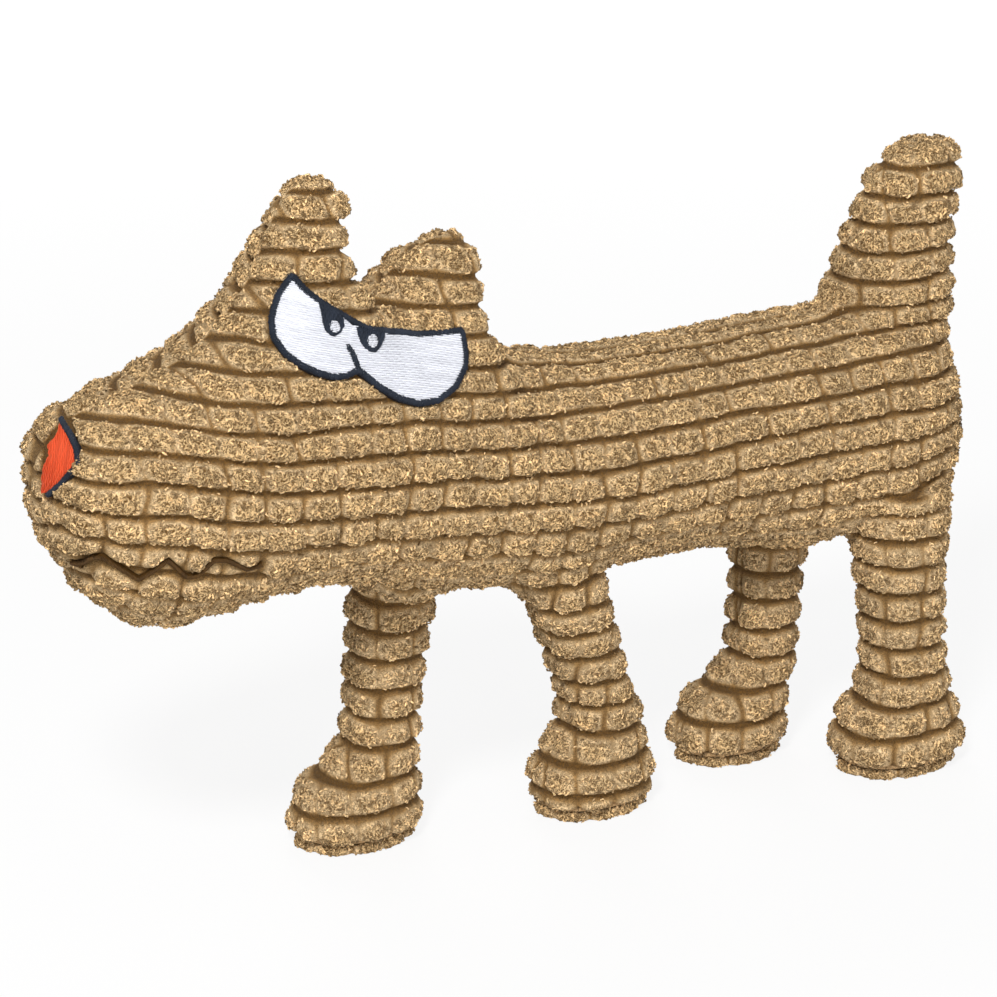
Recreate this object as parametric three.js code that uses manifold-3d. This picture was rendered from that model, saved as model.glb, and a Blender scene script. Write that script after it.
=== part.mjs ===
// Stuffed dog toy in wide-rib plush: a profile-cut dog with two upright ears, a raised tail and four
// stuffed legs. Millimetres, +Z up, the nose points to -X and the toy stands on z = 0.
import * as THREE from 'three';
import { mergeVertices } from 'three/addons/utils/BufferGeometryUtils.js';
import Module from 'manifold-3d';

const wasm = await Module();
wasm.setup();

// Driving sizes of the stuffed head and torso.
const overallLength = 347;
const bellyHeight = 88;
const torsoHeight = 74;
const torsoWidth = 71;
const headLength = 148;
const headHeight = 98;
const headWidth = 81;
const chinDrop = 13;

// Ears: how far their folds lie above or below the crown of the head, and the round they bend on.
const frontFoldRise = 15;
const rearFoldDrop = 6;
const earRound = 28;

// Tail and legs.
const tailLength = 60;
const tailHeight = 61;
const tailThickness = 32;
const tailOverhang = 6;
const tailSeamDepth = 12;
const footLength = 46;
const footWidth = 36;
const footHeight = 31;
const shinThickness = 25;
const soleThickness = 3;
const rootDepth = 17;

// The neck is a ball joint, and all stuffed pieces stay this far apart.
const neckRadius = 62;
const clearance = 0.4;
const headPathMargin = 4;

// Turns of the joints, in degrees. A leg swings until its foot is about to touch the next one.
const tailSwayDegrees = 20;
const earBendDegrees = 15;

// Embroidery on the left side of the head.
const threadThickness = 0.9;
const threadLift = 0.35;
const threadGap = 0.35;
const outlineWidth = 1.9;
const eyesLength = 66;
const eyesHeight = 44;
const pupilRadius = 3;
const highlightRadius = 1.9;
const nosePatchHeight = 23;
const nosePatchReach = 8;
const mouthLength = 52;
const mouthHeight = 9;
const mouthWidth = 1.7;

// Squeaker and its pocket in the chest.
const squeakerRadius = 19;
const bellowsLength = 20;
const bellowsWall = 1.1;
const bellowsDepth = 3.2;
const discThickness = 2.4;
const reedBore = 3;
const reedWall = 1;
const reedReach = 5;
const reedThickness = 0.5;

// Counts of points and steps.
const sides = 28;
const limbSides = 20;
const rodSides = 48;
const ballDetail = 9;
const turnSides = 24;
const folds = 3;
const swingSteps = 12;

// Powers of the stuffed sections: 2 is an ellipse, more is squarer, less draws in like a tent.
const sectionPower = 2.25;
const tentPower = 0.7;

const noseX = -overallLength / 2;
const rumpX = overallLength / 2 - tailOverhang;
const neckX = noseX + headLength;
const torsoLength = rumpX - neckX;
const chinHeight = bellyHeight + chinDrop;
const crownHeight = chinHeight + headHeight;
const overrun = overallLength;
const lengthwise = new THREE.Vector3(1, 0, 0);
const crosswise = new THREE.Vector3(0, 1, 0);

const finishes = {
  plush: { colour: new THREE.Color(0.6, 0.42, 0.23), roughness: 0.95 },
  sole: { colour: new THREE.Color(0.5, 0.34, 0.18), roughness: 0.95 },
  white: { colour: new THREE.Color(0.83, 0.84, 0.88), roughness: 0.6 },
  navy: { colour: new THREE.Color(0.03, 0.04, 0.06), roughness: 0.6 },
  orange: { colour: new THREE.Color(0.86, 0.12, 0.05), roughness: 0.6 },
  brown: { colour: new THREE.Color(0.11, 0.05, 0.015), roughness: 0.7 },
  plastic: { colour: new THREE.Color(0.85, 0.84, 0.8), roughness: 0.4 }
};

const toy = new THREE.Group();

function addPiece(name, geometry, finish) {
  const { colour, roughness } = finishes[finish];
  const material = new THREE.MeshStandardMaterial({ color: colour, roughness, metalness: 0 });
  const mesh = new THREE.Mesh(geometry, material);
  mesh.name = name;
  toy.add(mesh);
}

// Joins and cuts.
function solidOf(geometry) {
  const bare = geometry.clone();
  bare.deleteAttribute('normal');
  bare.deleteAttribute('uv');
  const merged = mergeVertices(bare);
  const mesh = new wasm.Mesh({
    numProp: 3,
    vertProperties: new Float32Array(merged.attributes.position.array),
    triVerts: new Uint32Array(merged.index.array)
  });
  return new wasm.Manifold(mesh);
}

function geometryOf(solid) {
  const mesh = solid.getMesh();
  const geometry = new THREE.BufferGeometry();
  geometry.setAttribute('position', new THREE.BufferAttribute(new Float32Array(mesh.vertProperties), 3));
  geometry.setIndex(new THREE.BufferAttribute(new Uint32Array(mesh.triVerts), 1));
  geometry.computeVertexNormals();
  return geometry;
}

function largestOf(solid) {
  const bodies = solid.decompose();
  return bodies.reduce((best, body) => (body.volume() > best.volume() ? body : best));
}

function block(low, high) {
  const size = new THREE.Vector3().subVectors(high, low);
  const geometry = new THREE.BoxGeometry(size.x, size.y, size.z);
  geometry.translate((low.x + high.x) / 2, (low.y + high.y) / 2, (low.z + high.z) / 2);
  return solidOf(geometry);
}

function ballAt(centre, radius) {
  const geometry = new THREE.IcosahedronGeometry(radius, ballDetail);
  geometry.translate(centre.x, centre.y, centre.z);
  return solidOf(geometry);
}

// A rod along X, or a lathed piece whose axis lies along X.
function rodAt(centre, radius, length, count) {
  const geometry = new THREE.CylinderGeometry(radius, radius, length, count);
  geometry.rotateZ(Math.PI / 2);
  geometry.translate(centre.x, centre.y, centre.z);
  return solidOf(geometry);
}

function latheAt(start, profile) {
  const geometry = new THREE.LatheGeometry(profile, turnSides);
  geometry.rotateZ(-Math.PI / 2);
  geometry.translate(start.x, start.y, start.z);
  return geometryOf(solidOf(geometry));
}

// Turns a solid by degrees about an axis through a point.
function turned(solid, pivot, axis, degrees) {
  const turn = new THREE.Matrix4().makeRotationAxis(axis, THREE.MathUtils.degToRad(degrees));
  const place = new THREE.Matrix4().makeTranslation(pivot.x, pivot.y, pivot.z);
  const back = new THREE.Matrix4().makeTranslation(-pivot.x, -pivot.y, -pivot.z);
  return solid.transform(place.multiply(turn).multiply(back).elements);
}

// Cuts a limb by the larger piece that it is sewn to, in every place that its joint turns it to.
// The limb's own turn is undone by turning the larger piece the other way.
function cutBySwing(limb, larger, pivot, axis, swing) {
  let left = limb;
  for (let step = 0; step <= swingSteps; step += 1) {
    const degrees = THREE.MathUtils.lerp(swing[0], swing[1], step / swingSteps);
    left = left.subtract(turned(larger, pivot, axis, -degrees));
  }
  return largestOf(left.subtract(larger));
}

// A stuffed form: closed rings of points, one after another, with a fan over each end.
function ringForm(rings) {
  const count = rings[0].length;
  const points = rings.flat().flatMap((point) => point.toArray());
  for (const ring of [rings[0], rings[rings.length - 1]]) {
    const middle = new THREE.Vector3();
    ring.forEach((point) => middle.add(point));
    points.push(...middle.divideScalar(count).toArray());
  }
  const ends = rings.length * count;
  const faces = [];
  for (let i = 0; i < count; i += 1) {
    const next = (i + 1) % count;
    for (let low = 0; low + count < ends; low += count) {
      const high = low + count;
      faces.push(low + i, low + next, high + next, low + i, high + next, high + i);
    }
    const last = ends - count;
    faces.push(ends, next, i, ends + 1, last + i, last + next);
  }
  const geometry = new THREE.BufferGeometry();
  geometry.setAttribute('position', new THREE.Float32BufferAttribute(points, 3));
  geometry.setIndex(faces);
  return solidOf(geometry);
}

function sectionShare(turn, power) {
  const angle = turn * Math.PI * 2;
  const side = Math.sign(Math.cos(angle)) * Math.abs(Math.cos(angle)) ** (2 / power);
  const up = Math.sign(Math.sin(angle)) * Math.abs(Math.sin(angle)) ** (2 / power);
  return [side, up];
}

// A ring that stands across X. Where its upper half is taller than it is wide, it draws in like a tent.
function uprightRing({ x, low, widest, high, halfWidth }) {
  const ring = [];
  const tent = sectionPower / Math.max(1, (high - widest) / halfWidth) ** tentPower;
  for (let i = 0; i < sides; i += 1) {
    const upper = i > 0 && i < sides / 2;
    const [side, up] = sectionShare(i / sides, upper ? tent : sectionPower);
    const reach = upper ? high - widest : widest - low;
    ring.push(new THREE.Vector3(x, halfWidth * side, widest + reach * up));
  }
  return ring;
}

function levelRing(x, y, z, halfLength, halfWidth) {
  const ring = [];
  for (let i = 0; i < limbSides; i += 1) {
    const [along, across] = sectionShare(i / limbSides, sectionPower);
    ring.push(new THREE.Vector3(x + halfLength * along, y + halfWidth * across, z));
  }
  return ring;
}

// Rows of the head: place along it from the nose, then underside, widest height and top above the
// chin, and half width. The top line runs up over the two ears.
const headShares = [
  [0, 0.46, 0.515, 0.57, 0.1],
  [0.008, 0.37, 0.51, 0.655, 0.32],
  [0.035, 0.265, 0.49, 0.7, 0.55],
  [0.085, 0.15, 0.46, 0.735, 0.72],
  [0.155, 0.045, 0.43, 0.765, 0.84],
  [0.24, -0.012, 0.42, 0.8, 0.92],
  [0.335, -0.005, 0.43, 0.85, 0.97],
  [0.39, 0.005, 0.44, 0.91, 0.985],
  [0.44, 0.01, 0.45, 0.985, 1],
  [0.49, 0.015, 0.46, 1.085, 1],
  [0.53, 0.015, 0.47, 1.22, 1],
  [0.565, 0.012, 0.47, 1.315, 1],
  [0.6, 0.01, 0.47, 1.37, 1],
  [0.64, 0.005, 0.47, 1.395, 1],
  [0.682, 0.002, 0.47, 1.38, 1],
  [0.71, 0, 0.47, 1.3, 1],
  [0.728, -0.005, 0.465, 1.14, 0.995],
  [0.75, -0.01, 0.46, 1, 0.99],
  [0.78, -0.015, 0.455, 0.96, 0.98],
  [0.82, -0.025, 0.445, 1.01, 0.975],
  [0.865, -0.035, 0.44, 1.065, 0.965],
  [0.905, -0.048, 0.43, 1.1, 0.955],
  [0.945, -0.057, 0.425, 1.12, 0.945],
  [0.98, -0.064, 0.42, 1.125, 0.935],
  [1.002, -0.07, 0.415, 1.09, 0.925],
  [1.014, -0.073, 0.41, 0.98, 0.92],
  [1.025, -0.077, 0.4, 0.86, 0.91],
  [1.045, -0.083, 0.39, 0.765, 0.9]
];

// Rows of the torso: place along it from the neck, underside and top above the belly, half width.
const torsoShares = [
  [0.085, 0.02, 1.085, 0.985],
  [0.13, 0.01, 1.055, 0.98],
  [0.2, 0, 1.03, 0.985],
  [0.35, 0, 1.01, 0.99],
  [0.53, -0.005, 1.005, 1],
  [0.7, -0.03, 1.01, 1],
  [0.83, -0.045, 1.01, 1],
  [0.91, -0.035, 1.005, 0.91],
  [0.955, -0.01, 0.985, 0.75],
  [0.983, 0.04, 0.935, 0.54],
  [0.996, 0.13, 0.84, 0.3],
  [1, 0.3, 0.66, 0.12]
];

function bodyRows() {
  const rows = headShares.map(([along, low, widest, high, wide]) => ({
    x: noseX + headLength * along,
    low: chinHeight + headHeight * low,
    widest: chinHeight + headHeight * widest,
    high: chinHeight + headHeight * high,
    halfWidth: (headWidth / 2) * wide
  }));
  for (const [along, low, high, wide] of torsoShares) {
    rows.push({
      x: neckX + torsoLength * along,
      low: bellyHeight + torsoHeight * low,
      widest: bellyHeight + (torsoHeight * (low + high)) / 2,
      high: bellyHeight + torsoHeight * high,
      halfWidth: (torsoWidth / 2) * wide
    });
  }
  return rows;
}

// The whole stuffed body from nose to rump, grown outward on its slopes by the given amount.
function bodyForm(grow) {
  const rows = bodyRows();
  const girth = rows.map((row) => (row.halfWidth + (row.high - row.low) / 2) / 2);
  const rings = rows.map((row, i) => {
    const before = Math.max(i - 1, 0);
    const after = Math.min(i + 1, rows.length - 1);
    const slope = Math.atan2(girth[after] - girth[before], rows[after].x - rows[before].x);
    const outward = grow * Math.cos(slope);
    return uprightRing({
      x: row.x - grow * Math.sin(slope),
      low: row.low - outward,
      widest: row.widest,
      high: row.high + outward,
      halfWidth: row.halfWidth + outward
    });
  });
  return ringForm(rings);
}

// The chest is a ball that sits in the hollow back of the head.
const neckShares = { along: 0.13, up: 0.4 };
const neckBall = new THREE.Vector3(
  neckX + torsoLength * neckShares.along,
  0,
  bellyHeight + torsoHeight * neckShares.up
);
const behindNeck = block(
  new THREE.Vector3(neckBall.x, -overrun, -overrun),
  new THREE.Vector3(overrun, overrun, overrun)
);

function torsoForm(grow) {
  return bodyForm(grow).intersect(behindNeck.add(ballAt(neckBall, neckRadius + grow)));
}

// The squeaker lies along X in a round pocket that opens at the front of the chest.
const pocketRadius = squeakerRadius + clearance;
const pocketMouth = neckBall.x - Math.sqrt(neckRadius ** 2 - pocketRadius ** 2);
const squeakerFront = new THREE.Vector3(pocketMouth + clearance, 0, neckBall.z);
const squeakerLength = 2 * (discThickness + clearance) + bellowsLength;
const pocketLength = squeakerLength + clearance + reedReach;

function pocket() {
  const wide = rodAt(squeakerFront, pocketRadius, 2 * (squeakerLength + clearance), rodSides);
  const reach = 2 * pocketLength;
  return wide.add(rodAt(squeakerFront, reedBore + reedWall + clearance, reach, turnSides));
}

// An ear is the part of the head above its fold. It bends on a round that lies along X below the fold.
const notchShare = headShares[18][0];
const foldShare = 0.78;
const underside = 0.02;
const notchX = noseX + headLength * notchShare;
const ears = [
  { name: 'ear_front', fold: crownHeight + frontFoldRise, from: noseX, to: notchX },
  { name: 'ear_rear', fold: crownHeight - rearFoldDrop, from: notchX, to: neckBall.x }
];

function earPivot(ear) {
  return new THREE.Vector3((ear.from + ear.to) / 2, 0, ear.fold - earRound * foldShare);
}

function aboveFold(ear, gap) {
  return block(
    new THREE.Vector3(ear.from, -overrun, ear.fold - gap),
    new THREE.Vector3(ear.to, overrun, overrun)
  );
}

function earSpace(ear, gap) {
  const round = rodAt(earPivot(ear), earRound + clearance - gap, overrun, rodSides);
  return aboveFold(ear, gap).subtract(round);
}

function earForm(ear) {
  const blank = bodyForm(0).intersect(earSpace(ear, 0));
  const belowFold = bodyForm(clearance).subtract(aboveFold(ear, clearance));
  return cutBySwing(blank, belowFold, earPivot(ear), lengthwise, [-earBendDegrees, earBendDegrees]);
}

function headForm() {
  let head = bodyForm(0).subtract(behindNeck);
  head = head.subtract(ballAt(neckBall, neckRadius + clearance));
  for (const ear of ears) {
    head = head.subtract(earSpace(ear, clearance));
  }
  return largestOf(head);
}

// Rows of the tail: height, front edge, rear edge and half thickness.
const tailShares = [
  [0, 0, 0.925, 1.4],
  [0.2, 0.167, 0.925, 1.15],
  [0.41, 0.258, 0.93, 1],
  [0.6, 0.333, 0.958, 0.9],
  [0.76, 0.417, 1, 0.8],
  [0.88, 0.5, 1.02, 0.68],
  [0.965, 0.617, 0.967, 0.45],
  [1, 0.73, 0.88, 0.2]
];

function tailForm() {
  const front = rumpX - tailLength * tailShares[0][2];
  const seam = bellyHeight + torsoHeight;
  const start = seam - tailSeamDepth / 2;
  const rings = tailShares.map(([up, near, far, thick]) =>
    levelRing(
      front + (tailLength * (near + far)) / 2,
      0,
      start + tailHeight * up,
      (tailLength * (far - near)) / 2,
      (tailThickness / 2) * thick
    )
  );
  const pivot = new THREE.Vector3(front, 0, seam - tailSeamDepth);
  return cutBySwing(ringForm(rings), torsoForm(clearance), pivot, lengthwise, [-tailSwayDegrees, tailSwayDegrees]);
}

// Rows of a foot: height, half length, half width and how far the shin's offset has been reached.
const footShares = [
  [0, 0.9, 0.87, 0],
  [0.13, 1, 0.99, 0],
  [0.36, 0.99, 0.97, 0.03],
  [0.58, 0.88, 0.9, 0.2],
  [0.78, 0.7, 0.79, 0.58]
];

// Rows of a shin: height above the ankle and half thickness.
const shinShares = [
  [0, 1.03],
  [0.13, 0.97],
  [0.35, 1],
  [0.58, 1.05],
  [0.76, 1.15],
  [1, 1.3]
];

// The legs: places of foot and root along and across the torso, the shin's offset towards the heel,
// how bulky shin and foot are, and how far back and forward the leg swings, in degrees.
const legShares = {
  leg_front_right: { foot: [-0.163, 0.42], root: [-0.07, 0.42], heel: 0.5, shin: 1, bulk: 1, swing: [-10, 12] },
  leg_front_left: { foot: [0.265, -0.06], root: [0.135, -0.4], heel: 0.1, shin: 1, bulk: 0.97, swing: [-7, 10] },
  leg_rear_right: { foot: [0.604, 0.35], root: [0.687, 0.395], heel: 0.5, shin: 0.96, bulk: 0.93, swing: [-12, 7] },
  leg_rear_left: { foot: [0.845, -0.69], root: [0.84, -0.62], heel: 0.12, shin: 1.16, bulk: 1.05, swing: [-12, 12] }
};

function placeOnTorso([along, across]) {
  return new THREE.Vector2(neckX + torsoLength * along, (torsoWidth / 2) * across);
}

// The space that the turning head needs ahead of the chest.
function headPath() {
  const ahead = block(
    new THREE.Vector3(-overrun, -overrun, chinHeight - headPathMargin - headHeight * underside),
    new THREE.Vector3(neckX, overrun, overrun)
  );
  return ahead.subtract(ballAt(neckBall, neckRadius - headPathMargin));
}

function legForm(leg) {
  const foot = placeOnTorso(leg.foot);
  const root = placeOnTorso(leg.root);
  const offset = (footLength / 2) * leg.heel;
  const start = soleThickness + clearance;
  const ankle = start + footHeight;
  const top = bellyHeight + rootDepth;
  const rings = footShares.map(([up, long, wide, heel]) =>
    levelRing(
      foot.x + offset * heel,
      foot.y,
      start + footHeight * up,
      (footLength / 2) * long * leg.bulk,
      (footWidth / 2) * wide * leg.bulk
    )
  );
  for (const [up, thick] of shinShares) {
    const radius = (shinThickness / 2) * thick * leg.shin;
    const x = THREE.MathUtils.lerp(foot.x + offset, root.x, up);
    const y = THREE.MathUtils.lerp(foot.y, root.y, up);
    rings.push(levelRing(x, y, THREE.MathUtils.lerp(ankle, top, up), radius, radius));
  }
  const pivot = new THREE.Vector3(root.x, root.y, bellyHeight);
  const limb = ringForm(rings).subtract(headPath());
  return cutBySwing(limb, torsoForm(clearance), pivot, crosswise, leg.swing);
}

function soleForm(leg) {
  const foot = placeOnTorso(leg.foot);
  const [, long, wide] = footShares[0];
  const shape = new THREE.Shape();
  const halfLength = (footLength / 2) * long * leg.bulk;
  const halfWidth = (footWidth / 2) * wide * leg.bulk;
  shape.absellipse(foot.x, foot.y, halfLength, halfWidth, 0, Math.PI * 2, false, 0);
  return new THREE.ExtrudeGeometry(shape, {
    depth: soleThickness,
    bevelEnabled: false,
    curveSegments: limbSides
  });
}

// Embroidery is a thin patch of thread that follows the side of the head. Outlines are drawn in
// length and height, cut straight through the side and kept within the layer of thread.
const threadLayer = bodyForm(threadLift + threadThickness).subtract(bodyForm(threadLift));

function slab(points) {
  const geometry = new THREE.ExtrudeGeometry(new THREE.Shape(points), { depth: overrun, bevelEnabled: false });
  geometry.rotateX(Math.PI / 2);
  geometry.translate(0, -threadGap, 0);
  return solidOf(geometry);
}

function patch(solid) {
  return geometryOf(largestOf(solid.intersect(threadLayer)));
}

function placed(shares, start, length, height) {
  return shares.map(([along, up]) => new THREE.Vector2(start.x + length * along, start.y + height * up));
}

// Moves each point of an outline sideways, to the left of the way that it runs.
function offset(points, distance, closed) {
  return points.map((point, i) => {
    const count = points.length;
    const before = closed ? points[(i + count - 1) % count] : points[Math.max(i - 1, 0)];
    const after = closed ? points[(i + 1) % count] : points[Math.min(i + 1, count - 1)];
    const into = new THREE.Vector2().subVectors(point, before).normalize();
    const out = new THREE.Vector2().subVectors(after, point).normalize();
    const way = into.add(out).normalize();
    return new THREE.Vector2(point.x - way.y * distance, point.y + way.x * distance);
  });
}

function band(points, width) {
  return [...offset(points, -width / 2, false), ...offset(points, width / 2, false).reverse()];
}

function circle(centre, radius) {
  const points = [];
  for (let i = 0; i < limbSides; i += 1) {
    const angle = (i / limbSides) * Math.PI * 2;
    points.push(new THREE.Vector2(centre.x + radius * Math.cos(angle), centre.y + radius * Math.sin(angle)));
  }
  return points;
}

// Both eyes share one outline, which runs from the front of the lid down, back and up to the lid's rear.
const eyesShares = [
  [0.15, 1],
  [0.08, 0.86],
  [0.02, 0.695],
  [0, 0.59],
  [0.023, 0.495],
  [0.08, 0.415],
  [0.164, 0.345],
  [0.24, 0.303],
  [0.308, 0.297],
  [0.376, 0.325],
  [0.474, 0.18],
  [0.57, 0.063],
  [0.67, 0.005],
  [0.777, 0],
  [0.886, 0.063],
  [0.967, 0.176],
  [0.99, 0.275],
  [1, 0.438],
  [0.87, 0.455],
  [0.747, 0.468],
  [0.595, 0.525],
  [0.447, 0.604],
  [0.338, 0.716],
  [0.25, 0.812],
  [0.188, 0.9]
];
const dividerShares = [
  [0.376, 0.3],
  [0.362, 0.4],
  [0.348, 0.49]
];
const partingShares = [
  [0.362, -1],
  [0.377, 0.325],
  [0.348, 0.49],
  [0.376, 0.68],
  [0.376, 2]
];
const pupilShares = [
  [-1.1, -0.45],
  [-0.75, -0.85],
  [-0.2, -1.08],
  [0.4, -1],
  [0.9, -0.6],
  [1.08, 0],
  [0.95, 0.6],
  [1.6, 1.2],
  [1.6, 3],
  [-2.6, 3],
  [-2, 1],
  [-1.6, 0.2]
];
const eyesPlaceShares = { along: 0.481, up: 0.668 };
const eyesStart = new THREE.Vector2(
  noseX + headLength * eyesPlaceShares.along,
  chinHeight + headHeight * eyesPlaceShares.up
);
const pupils = { front: [0.3, 0.648], rear: [0.48, 0.515] };

function embroiderEyes() {
  const line = placed(eyesShares, eyesStart, eyesLength, eyesHeight);
  const inner = offset(line, outlineWidth / 2, true);
  const white = slab(offset(line, outlineWidth / 2 + threadGap, true));
  const divider = placed(dividerShares, eyesStart, eyesLength, eyesHeight);
  const hook = slab(band(divider, outlineWidth));
  const wideHook = slab(band(divider, outlineWidth + 2 * threadGap));
  const ring = slab(offset(line, -outlineWidth / 2, true)).subtract(slab(inner));
  addPiece('eye_outline', patch(ring.add(hook)), 'navy');

  const parting = placed(partingShares, eyesStart, eyesLength, eyesHeight);
  const front = [
    ...offset(parting, threadGap / 2, false),
    new THREE.Vector2(-overrun, overrun),
    new THREE.Vector2(-overrun, -overrun)
  ];
  const rear = [
    ...offset(parting, -threadGap / 2, false).reverse(),
    new THREE.Vector2(overrun, -overrun),
    new THREE.Vector2(overrun, overrun)
  ];
  for (const [place, half] of Object.entries({ front, rear })) {
    const [centre] = placed([pupils[place]], eyesStart, eyesLength, eyesHeight);
    const spot = pupilShares.map(
      ([along, up]) => new THREE.Vector2(centre.x + pupilRadius * along, centre.y + pupilRadius * up)
    );
    const eye = white.intersect(slab(half)).subtract(wideHook);
    const hole = slab(circle(centre, highlightRadius + threadGap));
    const light = slab(circle(centre, highlightRadius));
    addPiece(`eye_white_${place}`, patch(eye.subtract(slab(offset(spot, -threadGap, true)))), 'white');
    addPiece(`pupil_${place}`, patch(eye.intersect(slab(spot)).subtract(hole)), 'navy');
    addPiece(`highlight_${place}`, patch(light), 'white');
  }
}

// The nose patch runs from the profile seam to its rear edge, which carries a navy line.
const noseEdgeShares = [
  [-0.02, -0.05],
  [0.3, 0.3],
  [0.82, 0.63],
  [0.8, 0.78],
  [1.1, 1.03]
];
const noseFrontShares = [
  [-1, 1.03],
  [-1, -0.05]
];
const nosePlaceShares = { up: 0.494 };
const noseLineShare = 0.7;

function embroiderNose() {
  const start = new THREE.Vector2(noseX, chinHeight + headHeight * nosePlaceShares.up);
  const edge = placed(noseEdgeShares, start, nosePatchReach, nosePatchHeight);
  const front = placed(noseFrontShares, start, nosePatchReach, nosePatchHeight);
  const line = edge.map((point) => new THREE.Vector2(point.x + threadGap, point.y));
  const rear = line.map((point) => new THREE.Vector2(point.x + outlineWidth * noseLineShare, point.y));
  addPiece('nose_patch', patch(slab([...edge, ...front])), 'orange');
  addPiece('nose_edge', patch(slab([...rear, ...line.reverse()])), 'navy');
}

// The mouth is one zigzag line of stitches.
const mouthShares = [
  [0, 0.1],
  [0.04, 0.42],
  [0.08, 0.95],
  [0.275, 0.02],
  [0.42, 0.85],
  [0.55, 0.02],
  [0.6, 0],
  [0.745, 0.62],
  [0.85, 0.36],
  [1, 0.08]
];
const mouthPlaceShares = { along: 0.049, up: 0.253 };

function embroiderMouth() {
  const start = new THREE.Vector2(
    noseX + headLength * mouthPlaceShares.along,
    chinHeight + headHeight * mouthPlaceShares.up
  );
  const line = placed(mouthShares, start, mouthLength, mouthHeight);
  addPiece('mouth_line', patch(slab(band(line, mouthWidth))), 'brown');
}

// The squeaker: a folded bellows between two discs, with a reed in a short tube through the rear disc.
function bellowsProfile() {
  const points = [];
  const steps = folds * 2;
  for (let i = 0; i <= steps; i += 1) {
    const depth = i % 2 === 0 ? bellowsDepth : 0;
    points.push(new THREE.Vector2(squeakerRadius - depth, (bellowsLength * i) / steps));
  }
  const inside = points.map((point) => new THREE.Vector2(point.x - bellowsWall, point.y));
  return [...points, ...inside.reverse(), points[0].clone()];
}

function ringProfile(inner, outer, length) {
  const corners = [
    [inner, 0],
    [outer, 0],
    [outer, length],
    [inner, length],
    [inner, 0]
  ];
  return corners.map(([across, along]) => new THREE.Vector2(across, along));
}

function addSqueaker() {
  const capProfile = [
    new THREE.Vector2(0, 0),
    new THREE.Vector2(squeakerRadius, 0),
    new THREE.Vector2(squeakerRadius, discThickness),
    new THREE.Vector2(0, discThickness)
  ];
  addPiece('squeaker_cap', latheAt(squeakerFront, capProfile), 'plastic');
  const bellowsStart = squeakerFront.clone();
  bellowsStart.x += discThickness + clearance;
  addPiece('squeaker_bellows', latheAt(bellowsStart, bellowsProfile()), 'plastic');
  const discStart = bellowsStart.clone();
  discStart.x += bellowsLength + clearance;
  const tubeRadius = reedBore + reedWall;
  addPiece(
    'squeaker_base',
    latheAt(discStart, ringProfile(tubeRadius + clearance, squeakerRadius, discThickness)),
    'plastic'
  );
  const tubeStart = discStart.clone();
  addPiece(
    'squeaker_reed_tube',
    latheAt(tubeStart, ringProfile(reedBore, tubeRadius, discThickness + reedReach)),
    'plastic'
  );
  const reedLength = discThickness + reedReach;
  const reedHalfWidth = Math.sqrt(reedBore ** 2 - reedThickness ** 2) - clearance;
  const reed = new THREE.BoxGeometry(reedLength, 2 * reedHalfWidth, reedThickness);
  reed.translate(discStart.x + reedLength / 2, 0, discStart.z);
  addPiece('squeaker_reed', reed, 'plastic');
}

addPiece('torso', geometryOf(largestOf(torsoForm(0).subtract(pocket()))), 'plush');
addPiece('head', geometryOf(headForm()), 'plush');
for (const ear of ears) {
  addPiece(ear.name, geometryOf(earForm(ear)), 'plush');
}
addPiece('tail', geometryOf(tailForm()), 'plush');
for (const [name, leg] of Object.entries(legShares)) {
  addPiece(name, geometryOf(legForm(leg)), 'plush');
  addPiece(name.replace('leg', 'sole'), soleForm(leg), 'sole');
}
embroiderEyes();
embroiderNose();
embroiderMouth();
addSqueaker();

export default toy;
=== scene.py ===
import math
import bmesh
import bpy
import numpy as np
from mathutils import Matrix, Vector
from mathutils.bvhtree import BVHTree
from mathutils.kdtree import KDTree


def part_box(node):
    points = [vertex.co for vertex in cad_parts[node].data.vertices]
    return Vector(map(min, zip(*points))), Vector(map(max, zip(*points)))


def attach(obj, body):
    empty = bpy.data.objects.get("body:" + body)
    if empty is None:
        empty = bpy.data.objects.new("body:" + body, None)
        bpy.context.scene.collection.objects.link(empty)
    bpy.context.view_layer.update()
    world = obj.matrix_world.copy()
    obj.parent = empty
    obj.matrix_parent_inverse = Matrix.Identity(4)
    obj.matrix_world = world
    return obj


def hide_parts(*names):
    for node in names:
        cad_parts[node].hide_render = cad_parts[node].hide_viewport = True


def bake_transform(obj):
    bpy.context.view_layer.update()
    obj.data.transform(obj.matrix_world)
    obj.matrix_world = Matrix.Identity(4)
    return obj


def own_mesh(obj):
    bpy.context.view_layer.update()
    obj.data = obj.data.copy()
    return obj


# Stuffed dog toy in tan wide-rib plush. Metres, +Z up, the nose points to -X.
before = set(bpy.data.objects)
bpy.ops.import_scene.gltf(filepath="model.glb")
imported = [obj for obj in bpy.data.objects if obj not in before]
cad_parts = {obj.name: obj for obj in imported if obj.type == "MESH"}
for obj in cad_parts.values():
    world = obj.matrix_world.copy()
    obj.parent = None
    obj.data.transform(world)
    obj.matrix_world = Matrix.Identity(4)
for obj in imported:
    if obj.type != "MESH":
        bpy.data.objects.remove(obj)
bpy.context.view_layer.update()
mm = 0.001


# Mesh helpers

def newObject(name, data):
    item = bpy.data.objects.new(name, data)
    bpy.context.scene.collection.objects.link(item)
    return item


def linkMesh(name, points, faces, edges=()):
    mesh = bpy.data.meshes.new(name)
    mesh.from_pydata([tuple(p) for p in points], [tuple(e) for e in edges], [tuple(f) for f in faces])
    mesh.update()
    return newObject(name, mesh)


# Writes an edited shape into a mesh and lets go of it.
def written(shape, mesh):
    shape.to_mesh(mesh)
    shape.free()
    return mesh


def readAll(items, name, width=1, kind=np.float32):
    found = np.zeros(len(items) * width, kind)
    items.foreach_get(name, found)
    return found


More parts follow.
